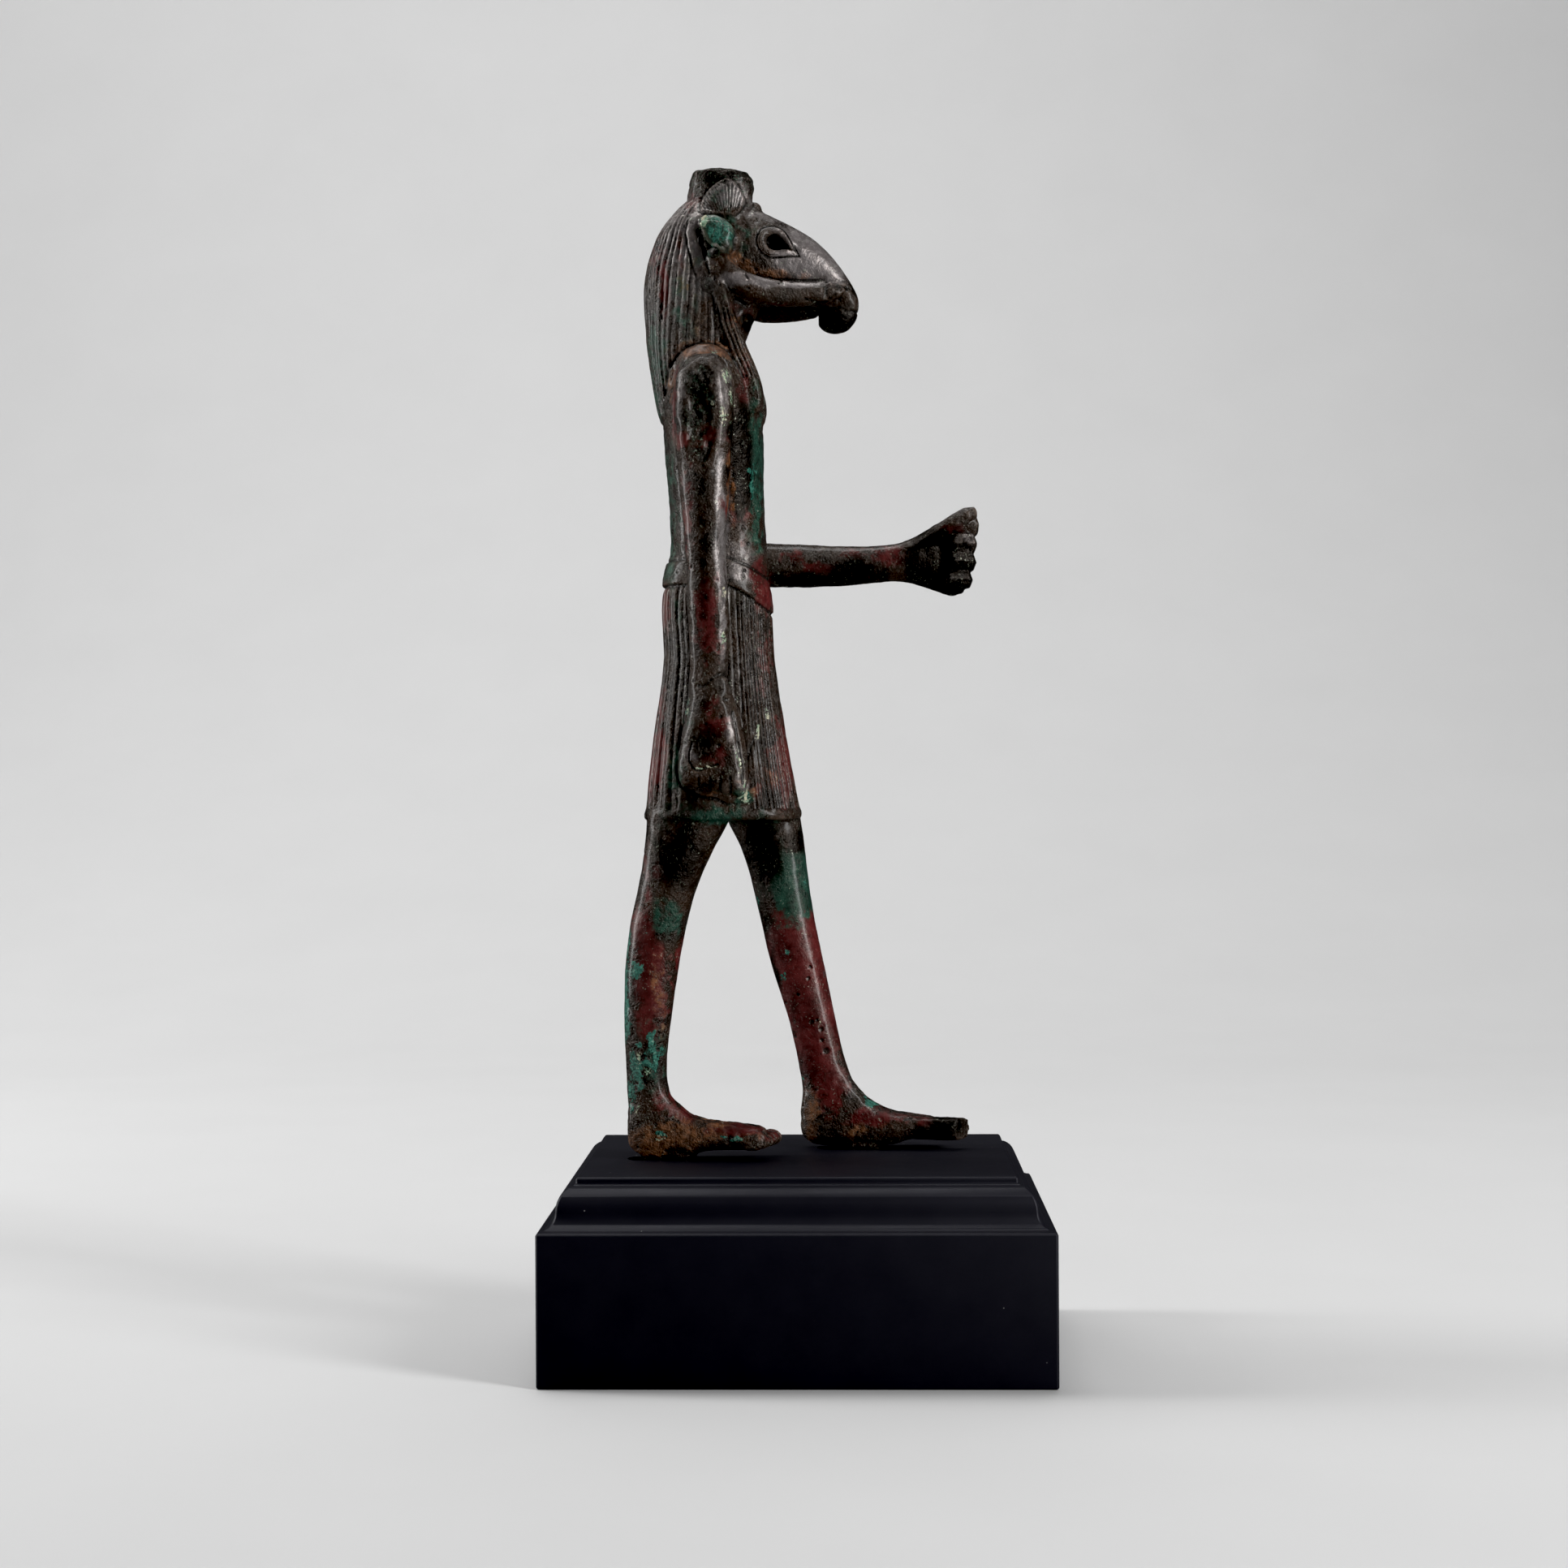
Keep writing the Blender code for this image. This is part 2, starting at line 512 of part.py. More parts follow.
def base_profile():
    """The base's outline as (inset, height): block, hollow, round and slab."""
    round_height = MOULDING_HEIGHT - CAVETTO_RADIUS
    round_inset = MOULDING_INSET - CAVETTO_RADIUS
    arcs = 7
    points = [(0.0, 0.0), (0.0, BLOCK_HEIGHT)]
    for step in range(1, arcs + 1):
        angle = math.pi / 2 * step / arcs
        points.append((
            CAVETTO_RADIUS * math.sin(angle),
            BLOCK_HEIGHT + CAVETTO_RADIUS * (1 - math.cos(angle)),
        ))
    for step in range(1, arcs + 1):
        angle = math.pi / 2 * step / arcs
        points.append((
            CAVETTO_RADIUS + round_inset * (1 - math.cos(angle)),
            BLOCK_HEIGHT + CAVETTO_RADIUS + round_height * math.sin(angle),
        ))
    points.append((MOULDING_INSET, BASE_TOP))
    return points


def base():
    mesh = bpy.data.meshes.new("base")
    body = bmesh.new()
    levels = []
    for inset, height in base_profile():
        x, y = BASE_LENGTH / 2 - inset, BASE_WIDTH / 2 - inset
        levels.append([
            body.verts.new((sx * x, sy * y, height))
            for sx, sy in ((-1, -1), (1, -1), (1, 1), (-1, 1))
        ])
    for low, high in zip(levels, levels[1:]):
        for i in range(4):
            j = (i + 1) % 4
            body.faces.new((low[i], low[j], high[j], high[i]))
    body.faces.new(reversed(levels[0]))
    body.faces.new(levels[-1])
    body.to_mesh(mesh)
    body.free()
    made = link(mesh, "base")
    edge = made.modifiers.new("worn_edges", "BEVEL")
    edge.width = BASE_EDGE
    edge.segments = 1
    edge.limit_method = "ANGLE"
    edge.angle_limit = math.radians(50)

    sockets = helpers("base_sockets")
    for spot in tang_places():
        hole = mortise(
            "socket",
            TANG_LENGTH + 2 * SOCKET_END_PLAY,
            TANG_WIDTH + 2 * SOCKET_CLEARANCE,
            BASE_TOP + SLAB_HEIGHT,
            BASE_TOP - TANG_DEPTH - SOCKET_CLEARANCE,
            sockets,
        )
        hole.location = spot
    boolean(made, sockets, "DIFFERENCE")
    made.data.materials.append(material("black_lacquer", BLACK_LACQUER, 0.5, 0.0))
    return made


def main():
    for old in list(bpy.data.objects):
        bpy.data.objects.remove(old)
    for made in (statuette(), base()):
        made.data.shade_smooth()
        made.data.set_sharp_from_angle(angle=math.radians(35))


main()
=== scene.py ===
"""Looks of a cast bronze statuette of a striding ram-headed god on a moulded black base."""

import math

import bpy
import numpy as np
from mathutils import Matrix, Vector


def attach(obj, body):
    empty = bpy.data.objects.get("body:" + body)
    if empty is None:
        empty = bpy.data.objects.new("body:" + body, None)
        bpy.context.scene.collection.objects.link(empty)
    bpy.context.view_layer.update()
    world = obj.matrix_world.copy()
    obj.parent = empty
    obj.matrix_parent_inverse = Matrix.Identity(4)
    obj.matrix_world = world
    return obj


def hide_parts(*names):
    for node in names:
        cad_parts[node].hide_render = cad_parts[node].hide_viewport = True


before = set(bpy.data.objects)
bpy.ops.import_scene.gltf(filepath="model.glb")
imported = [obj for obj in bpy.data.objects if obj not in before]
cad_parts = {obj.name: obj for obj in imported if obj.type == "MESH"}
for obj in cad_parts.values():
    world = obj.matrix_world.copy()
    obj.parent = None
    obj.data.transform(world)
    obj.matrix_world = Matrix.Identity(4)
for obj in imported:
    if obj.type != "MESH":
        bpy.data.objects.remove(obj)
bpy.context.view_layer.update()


# Studio
# A seamless sheet of pale paper lies under the statuette and curves up behind it. Two tall soft boxes
# stand at its left and right, wide ones light it from above and wash the sheet behind it, and the camera
# looks at the figure's right side.


class Reading:
    """One socket of a finish. Sums and products on it add the Math nodes that work them out."""

    def __init__(self, finish, socket):
        self.finish = finish
        self.socket = socket

    def maths(self, operation, *values):
        return self.finish.node("ShaderNodeMath", {"operation": operation}, dict(enumerate(values)))

    def __add__(self, other):
        return self.maths("ADD", self, other)

    def __radd__(self, other):
        return self.maths("ADD", other, self)

    def __sub__(self, other):
        return self.maths("SUBTRACT", self, other)

    def __rsub__(self, other):
        return self.maths("SUBTRACT", other, self)

    def __mul__(self, other):
        return self.maths("MULTIPLY", self, other)

    def __rmul__(self, other):
        return self.maths("MULTIPLY", other, self)

    def __truediv__(self, other):
        return self.maths("DIVIDE", self, other)

    def __pow__(self, other):
        return self.maths("POWER", self, other)


class Finish:
    """A material whose nodes all come from one method."""

    def __init__(self, name):
        self.material = bpy.data.materials.new(name)
        self.material.use_nodes = True
        self.tree = self.material.node_tree
        self.tree.nodes.clear()
        self.shader = self.tree.nodes.new("ShaderNodeBsdfPrincipled")
        output = self.tree.nodes.new("ShaderNodeOutputMaterial")
        self.tree.links.new(self.shader.outputs["BSDF"], output.inputs["Surface"])

    def node(self, kind, settings=None, sockets=None, output=0):
        node = self.tree.nodes.new(kind)
        for setting, value in (settings or {}).items():
            setattr(node, setting, value)
        for name, value in (sockets or {}).items():
            self.feed(node.inputs[name], value)
        return Reading(self, node.outputs[output])

    def feed(self, socket, value):
        if isinstance(value, Reading):
            self.tree.links.new(value.socket, socket)
        elif socket.type == "RGBA" and len(value) == 3:
            socket.default_value = (*value, 1.0)
        else:
            socket.default_value = value

    def set(self, **sockets):
        for name, value in sockets.items():
            self.feed(self.shader.inputs[name.replace("_", " ")], value)

    def place(self):
        return self.node("ShaderNodeTexCoord", output="Object")

    def grain(self, size, detail, rough=0.5, warp=0.0):
        """Clouds of one size in millimetres, from 0 to 1."""
        sockets = {
            "Vector": self.place(),
            "Scale": 1000.0 / size,
            "Detail": detail,
            "Roughness": rough,
            "Distortion": warp,
        }
        return self.node("ShaderNodeTexNoise", {}, sockets)

    def ease(self, value, low, high):
        """0 below low, 1 above high, smooth between."""
        sockets = {"Value": value, "From Min": low, "From Max": high}
        return self.node("ShaderNodeMapRange", {"interpolation_type": "SMOOTHSTEP"}, sockets)

    def blend(self, share, below, above):
        """Two colours mixed by a share: all of the first at 0, all of the second at 1."""
        mix = self.tree.nodes.new("ShaderNodeMix")
        mix.data_type = "RGBA"
        colours = [s for s in mix.inputs if s.type == "RGBA"]
        self.feed(mix.inputs["Factor"], share)
        self.feed(colours[0], below)
        self.feed(colours[1], above)
        return Reading(self, next(s for s in mix.outputs if s.type == "RGBA"))

    def bump(self, height):
        """The normal of a relief whose height is in millimetres."""
        return self.node("ShaderNodeBump", {}, {"Height": height, "Distance": 0.001, "Strength": 1.0})


def soft_box(name, place, aim, width, height, watts):
    """A white area light that faces a point."""
    light = bpy.data.lights.new(name, "AREA")
    light.shape = "RECTANGLE"
    light.size = width
    light.size_y = height
    light.energy = watts
    lamp = bpy.data.objects.new(name, light)
    bpy.context.scene.collection.objects.link(lamp)
    lamp.location = place
    lamp.rotation_euler = (Vector(aim) - Vector(place)).to_track_quat("-Z", "Y").to_euler()


def paper_sweep():
    """A sheet from in front of the camera to behind the statuette, where it curves up."""
    bpy.ops.object.select_all(action="DESELECT")
    bpy.ops.mesh.primitive_plane_add(size=1.0)
    sheet = bpy.context.object
    sheet.name = "paper_sweep"
    bpy.ops.object.mode_set(mode="EDIT")
    bpy.ops.transform.resize(value=(7.0, 3.6, 1.0))
    bpy.ops.transform.translate(value=(0.0, -0.35, 0.0))
    bpy.ops.mesh.select_all(action="DESELECT")
    bpy.ops.object.mode_set(mode="OBJECT")
    back = max(v.co.y for v in sheet.data.vertices)
    for edge in sheet.data.edges:
        edge.select = all(abs(sheet.data.vertices[i].co.y - back) < 1e-4 for i in edge.vertices)
    bpy.ops.object.mode_set(mode="EDIT")
    bpy.ops.mesh.select_mode(type="EDGE")
    bpy.ops.mesh.extrude_region_move(TRANSFORM_OT_translate={"value": (0.0, 0.0, 3.2)})
    bpy.ops.mesh.select_all(action="DESELECT")
    bpy.ops.object.mode_set(mode="OBJECT")
    for edge in sheet.data.edges:
        ends = [sheet.data.vertices[i].co for i in edge.vertices]
        edge.select = all(abs(e.y - back) < 1e-4 and abs(e.z) < 1e-4 for e in ends)
    bpy.ops.object.mode_set(mode="EDIT")
    bpy.ops.mesh.bevel(offset=0.95, segments=28, affect="EDGES")
    bpy.ops.object.mode_set(mode="OBJECT")
    bpy.ops.object.shade_smooth()
    return sheet


sweep = paper_sweep()
paper = Finish("pale_paper")
paper.set(
    Base_Color=paper.blend(paper.grain(60.0, 3.0), (0.70, 0.70, 0.70), (0.735, 0.735, 0.735)),
    Roughness=0.9,
    Specular_IOR_Level=0.15,
)
sweep.data.materials.append(paper.material)
# Black flags round the table keep the paper out of the bronze's gloss.
sweep.visible_glossy = False

soft_box("overhead", (0.0, 0.30, 1.45), (0.0, 0.10, 0.0), 0.8, 0.55, 4.7)
soft_box("left_box", (-0.95, 0.10, 0.42), (0.0, 0.0, 0.14), 0.20, 0.95, 6.6)
soft_box("right_box", (0.88, -0.52, 0.46), (0.0, 0.0, 0.14), 0.22, 0.95, 9.6)
soft_box("backdrop_wash", (-0.75, 0.35, 1.9), (-0.55, 1.5, 1.0), 2.0, 0.6, 19.8)

world = bpy.data.worlds.new("studio_dark")
world.use_nodes = True
world.node_tree.nodes["Background"].inputs["Color"].default_value = (0.5, 0.5, 0.5, 1.0)
world.node_tree.nodes["Background"].inputs["Strength"].default_value = 0.06
bpy.context.scene.world = world
bpy.context.scene.view_settings.view_transform = "Standard"
bpy.context.scene.view_settings.look = "None"
bpy.context.scene.view_settings.use_curve_mapping = True
bpy.context.scene.view_settings.curve_mapping.black_level = (0.006, 0.006, 0.006)
bpy.context.scene.view_settings.curve_mapping.update()

camera_data = bpy.data.cameras.new("camera")
focal_pixels = 3000.0
picture_pixels = 1932.0
camera_data.sensor_width = 36.0
camera_data.lens = focal_pixels / picture_pixels * camera_data.sensor_width
camera_data.clip_start = 0.01
camera_data.clip_end = 30.0
camera = bpy.data.objects.new("camera", camera_data)
bpy.context.scene.collection.objects.link(camera)
yaw, pitch, roll = 0.02519, 0.00191, -0.00576
ahead = Vector((-math.sin(yaw) * math.cos(pitch), math.cos(yaw) * math.cos(pitch), -math.sin(pitch)))
level = Vector((math.cos(yaw), math.sin(yaw), 0.0))
rise = level.cross(ahead)
across = math.cos(roll) * level + math.sin(roll) * rise
upward = -math.sin(roll) * level + math.cos(roll) * rise
turned = Matrix((across, upward, -ahead)).transposed().to_4x4()
stand_point = (0.01038, -0.52488, 0.12241)
camera.matrix_world = Matrix.Translation(stand_point) @ turned
bpy.context.scene.camera = camera


# Base
# A block of wood with a hollow, a round and a thin slab worked along its top, sprayed with matt black
# lacquer. Two slots in the slab take the figure's tangs. Fine dust lies on its ledges.

base = bpy.data.objects.new("lacquered_base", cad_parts["base"].data.copy())
bpy.context.scene.collection.objects.link(base)


def pick(piece):
    """Makes one piece the only one that an operator acts on."""
    bpy.ops.object.select_all(action="DESELECT")
    piece.select_set(True)
    bpy.context.view_layer.objects.active = piece


def apply_modifiers(piece):
    pick(piece)
    for modifier in list(piece.modifiers):
        bpy.ops.object.modifier_apply(modifier=modifier.name)


def merge(piece):
    """Joins the loose triangles of a copied solid into one closed skin."""
    pick(piece)
    bpy.ops.object.mode_set(mode="EDIT")
    bpy.ops.mesh.select_all(action="SELECT")
    bpy.ops.mesh.remove_doubles(threshold=0.000002)
    bpy.ops.object.mode_set(mode="OBJECT")


merge(base)
arris = base.modifiers.new("arris", "BEVEL")
arris.width = 0.00018
arris.segments = 2
arris.limit_method = "ANGLE"
arris.angle_limit = math.radians(35.0)
apply_modifiers(base)
bpy.ops.object.shade_smooth_by_angle(angle=math.radians(18.0))

lacquer = Finish("black_lacquer")
cells = {"Vector": lacquer.place(), "Scale": 260.0, "Randomness": 1.0}
speck_distance = lacquer.node("ShaderNodeTexVoronoi", {"feature": "F1"}, cells)
speck_colour = lacquer.node("ShaderNodeTexVoronoi", {"feature": "F1"}, cells, "Color")
luck = lacquer.node("ShaderNodeSeparateColor", {}, {"Color": speck_colour})
dust = lacquer.ease(speck_distance, 0.045, 0.02) * lacquer.ease(luck, 0.72, 0.80)
lacquer.set(
    Base_Color=lacquer.blend(
        dust,
        lacquer.blend(lacquer.grain(9.0, 3.0), (0.0060, 0.0058, 0.0090), (0.0094, 0.0092, 0.0138)),
        (0.30, 0.30, 0.29),
    ),
    Roughness=0.44 + 0.10 * lacquer.grain(5.0, 3.0) + 0.3 * dust,
    Specular_IOR_Level=0.36,
    Specular_Tint=(0.90, 0.90, 1.0, 1.0),
    Normal=lacquer.bump(0.006 * lacquer.grain(0.35, 2.0) + 0.03 * lacquer.grain(14.0, 1.0)),
)
base.data.materials.clear()
base.data.materials.append(lacquer.material)
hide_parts("base")
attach(base, "root")


# Statuette
# The whole figure is one bronze casting, chased after casting: locks of the wig, pleats of the kilt,
# belt, eyes and mouth. Burial has left red, green and black patina, pits, and earth in the feet.
# Some of the black is painted shade, and some of the bare grey metal is painted highlights.

# The middle of the figure's stance on top of the base. All forms below are in millimetres from it.
STANCE = Vector((-0.0175, 0.0025, 0.0415))


def ease(value, low, high):
    share = np.clip((value - low) / (high - low), 0.0, 1.0)
    return share * share * (3.0 - 2.0 * share)


def lumps(place, size, seed):
    """Smooth random lumps of one size, from 0 to 1, the same each time at the same place."""
    cell = place / size + seed * 17.31 + 4096.0
    corner = np.floor(cell)
    part = cell - corner
    part = part * part * (3.0 - 2.0 * part)
    corner = corner.astype(np.int64)
    total = np.zeros(len(place))
    # Large primes scatter the corners of the cells.
    primes = (73856093, 19349663, 83492791)
    stir = 1274126177
    for step in ((0, 0, 0), (1, 0, 0), (0, 1, 0), (1, 1, 0), (0, 0, 1), (1, 0, 1), (0, 1, 1), (1, 1, 1)):
        key = (corner[:, 0] + step[0]) * primes[0]
        key = key ^ (corner[:, 1] + step[1]) * primes[1]
        key = key ^ (corner[:, 2] + step[2]) * primes[2]
        key = (key ^ (key >> 13)) * stir
        value = ((key ^ (key >> 16)) & 0xFFFF) / 65535.0
        for axis in range(3):
            value = value * (part[:, axis] if step[axis] else 1.0 - part[:, axis])
        total += value
    return total


def from_line(x, z, line):
    """Distance in the side view from a drawn line of (x, z) points."""
    best = np.full(len(x), 1e9)
    for (x0, z0), (x1, z1) in zip(line, line[1:]):
        run = np.array((x1 - x0, z1 - z0))
        share = np.clip(((x - x0) * run[0] + (z - z0) * run[1]) / (run @ run), 0.0, 1.0)
        best = np.minimum(best, np.hypot(x - x0 - share * run[0], z - z0 - share * run[1]))
    return best


def from_outline(x, z, outline):
    """Distance in the side view from a closed outline, negative inside it."""
    inside = np.zeros(len(x), bool)
    closed = [*outline, outline[0]]
    for (x0, z0), (x1, z1) in zip(closed, closed[1:]):
        if z0 != z1:
            inside ^= ((z0 > z) != (z1 > z)) & (x < (x1 - x0) * (z - z0) / (z1 - z0) + x0)
    return np.where(inside, -1.0, 1.0) * from_line(x, z, closed)


def from_drop(x, z, drop):
    """Distance in the side view from the edge of a drop, negative inside it."""
    (mx, mz), radius, (tx, tz) = drop
    length = math.hypot(tx - mx, tz - mz)
    along = ((x - mx) * (tx - mx) + (z - mz) * (tz - mz)) / length
    aside = np.abs((x - mx) * (tz - mz) - (z - mz) * (tx - mx)) / length
    lean = radius / length
    upright = math.sqrt(1.0 - lean * lean)
    flank = upright * aside + lean * along - radius
    return np.where(upright * along > lean * aside, flank, np.hypot(along, aside) - radius)


def dome(depth, reach):
    """Rises from 0 at an edge to 1 at a depth inside it, round as a dome."""
    part = np.clip(depth / reach, 0.0, 1.0)
    return np.sqrt(1.0 - (1.0 - part) ** 2)


def column(z, rows):
    """A value that changes with height, from rows of (z, value)."""
    rows = sorted(rows)
    return np.interp(z, [row[0] for row in rows], [row[1] for row in rows])


def from_path(place, path):
    """Distance from a path of (x, y, z) points on either side of the figure."""
    folded = np.column_stack((place[:, 0], np.abs(place[:, 1]), place[:, 2]))
    best = np.full(len(place), 1e9)
    for start, end in zip(path, path[1:]):
        start = np.array(start)
        run = np.array(end) - start
        share = np.clip((folded - start) @ run / (run @ run), 0.0, 1.0)
        best = np.minimum(best, np.linalg.norm(folded - start - share[:, None] * run, axis=1))
    return best


def groove(phase, sharp):
    """Cut lines one apart: 1 at the bottom of a cut, 0 on the ridge between two."""
    return 1.0 - np.abs(np.sin(math.pi * phase)) ** sharp


def hash_of(number):
    """A share from 0 to 1 that is the same for all numbers between two whole ones."""
    return np.modf(np.abs(np.sin(np.floor(number) * 12.9898) * 43758.5453))[0]


# An eye is a drop: the middle and radius of its round end, and the tip of its pointed end.
EYE_HOLE = ((13.4, 195.6), 1.75, (16.9, 194.3))
EYE_RIM = ((13.0, 195.6), 3.5, (18.6, 192.8))
# Outlines and cut lines are points (x, z) in the side view.
EAR = (
    (-2.4, 199.5), (-1.2, 200.4), (1.2, 200.4), (3.2, 199.5), (4.9, 197.7), (5.2, 196.3), (4.8, 194.5),
    (4.9, 193.3), (3.6, 191.5), (1.9, 191.8), (0.3, 192.3), (-1.6, 195.2), (-2.4, 197.6),
)
EAR_HOLLOW = ((-2.6, 197.4), (-1.8, 195.1), (-0.1, 192.8), (1.3, 191.8))
BOSS = (
    (-2.3, 201.6), (-2.5, 203.6), (-1.6, 205.6), (-0.2, 207.4), (1.6, 208.8), (3.2, 209.5), (4.8, 208.8),
    (6.2, 207.0), (7.2, 204.8), (6.4, 202.6), (4.9, 200.9),
)
CHEEK_FOLD = (
    (3.4, 192.6), (4.6, 190.9), (6.4, 189.3), (9.2, 188.2), (13.0, 187.8), (18.8, 187.7), (24.0, 187.9),
)
JAW_FOLD = ((5.0, 183.8), (9.8, 181.5), (14.5, 181.0), (19.5, 181.2), (23.0, 182.0), (26.5, 183.6))
HAND = (
    (-3.7, 105.0), (-4.6, 98.6), (-5.6, 94.0), (-6.6, 91.0), (-7.5, 87.0), (-7.6, 82.5), (-6.8, 79.6),
    (-3.6, 77.8), (0.8, 76.9), (2.6, 75.9), (6.8, 75.9), (7.9, 78.6), (8.0, 84.0), (7.2, 89.0), (6.1, 93.5),
    (5.0, 97.5), (4.2, 100.0), (3.9, 105.0),
)
THUMB = ((4.4, 95.0), (5.0, 92.0), (5.7, 87.8), (6.3, 83.6), (6.5, 80.2))
KNUCKLE = ((-4.0, 88.6), (-4.6, 86.6), (-4.6, 84.8), (-3.8, 83.3), (-2.6, 82.8), (-0.7, 83.6), (1.3, 84.1))
# The middle of a horn, as points (x, y, z).
HORN = (
    (3.4, 9.6, 196.0), (2.2, 11.3, 192.8), (2.9, 12.0, 189.6), (5.2, 12.0, 186.8), (8.8, 11.0, 184.9),
    (13.4, 9.6, 184.2), (18.4, 8.2, 184.2), (23.4, 6.9, 184.7), (28.3, 5.9, 185.7),
)
ARCH = (
    (-11.5, 157.0), (-9.8, 162.9), (-9.1, 167.2), (-7.3, 170.2), (-5.1, 172.1), (-2.2, 172.9), (0.9, 172.7),
    (3.4, 171.3), (5.3, 168.8), (6.8, 165.8),
)
CAP = (
    (-8.1, 155.4), (-7.6, 160.5), (-6.5, 166.4), (-4.0, 168.9), (-0.6, 169.6), (2.8, 168.5), (4.5, 165.4),
    (5.3, 158.7),
)
PIT = (
    (-4.6, 164.6), (-1.1, 166.9), (0.9, 164.9), (1.6, 158.2), (1.2, 150.7), (-0.9, 144.8), (-3.9, 148.2),
    (-5.0, 158.2),
)
BAND = (
    (-1.2, 206.0), (-2.2, 203.8), (-3.2, 200.8), (-3.9, 197.2), (-3.2, 193.4), (-2.2, 189.1), (-1.2, 186.4),
    (1.8, 183.6), (3.4, 180.0),
)
# Where the wig ends towards the face, as rows (z, x).
HAIRLINE = (
    (158.0, -8.6), (166.0, -8.2), (171.0, -6.0), (172.4, 1.0), (174.0, 4.2), (180.0, 2.2), (184.5, 2.8),
    (188.4, 1.0), (192.6, -1.4), (196.0, -2.0), (200.6, -0.6), (203.0, 4.0), (208.0, 8.0),
)
BELT_TOP = ((-12.0, 127.7), (3.4, 127.9), (7.2, 126.3), (10.6, 124.4), (14.0, 122.6))
BELT_FOOT = ((-13.0, 122.3), (3.4, 121.9), (7.2, 119.8), (10.6, 117.5), (14.0, 115.4))
WRAP = ((14.6, 102.0), (13.9, 100.8), (12.3, 97.9), (10.6, 93.9), (8.1, 88.3), (6.9, 84.5))
MOUTH = ((20.0, 183.0), (24.0, 182.4), (27.5, 182.3), (28.7, 181.4), (30.3, 181.5), (31.5, 181.9))
HORN_CRACKS = (((7.3, 187.6), (7.9, 186.7)), ((14.4, 187.5), (15.2, 185.9)), ((17.2, 187.3), (17.0, 186.5)))
# Single corrosion pits on the near side: x, z, radius.
DOTS = (
    (20.2, 28.0, 0.8), (21.4, 28.4, 0.6), (22.3, 26.4, 0.7), (22.4, 24.0, 0.6), (23.4, 21.6, 1.1),
    (19.6, 37.6, 0.6), (20.0, 40.0, 0.5), (17.4, 34.0, 0.5), (16.6, 24.6, 0.6), (14.6, 32.0, 0.5),
    (3.6, 122.9, 0.5), (6.8, 125.2, 0.5), (7.6, 131.0, 0.6), (5.2, 98.0, 0.6), (-1.0, 92.6, 0.5),
    (2.0, 94.0, 0.5), (1.6, 88.0, 0.6), (13.2, 202.0, 0.5), (8.0, 184.6, 0.45), (14.4, 186.0, 0.4),
)


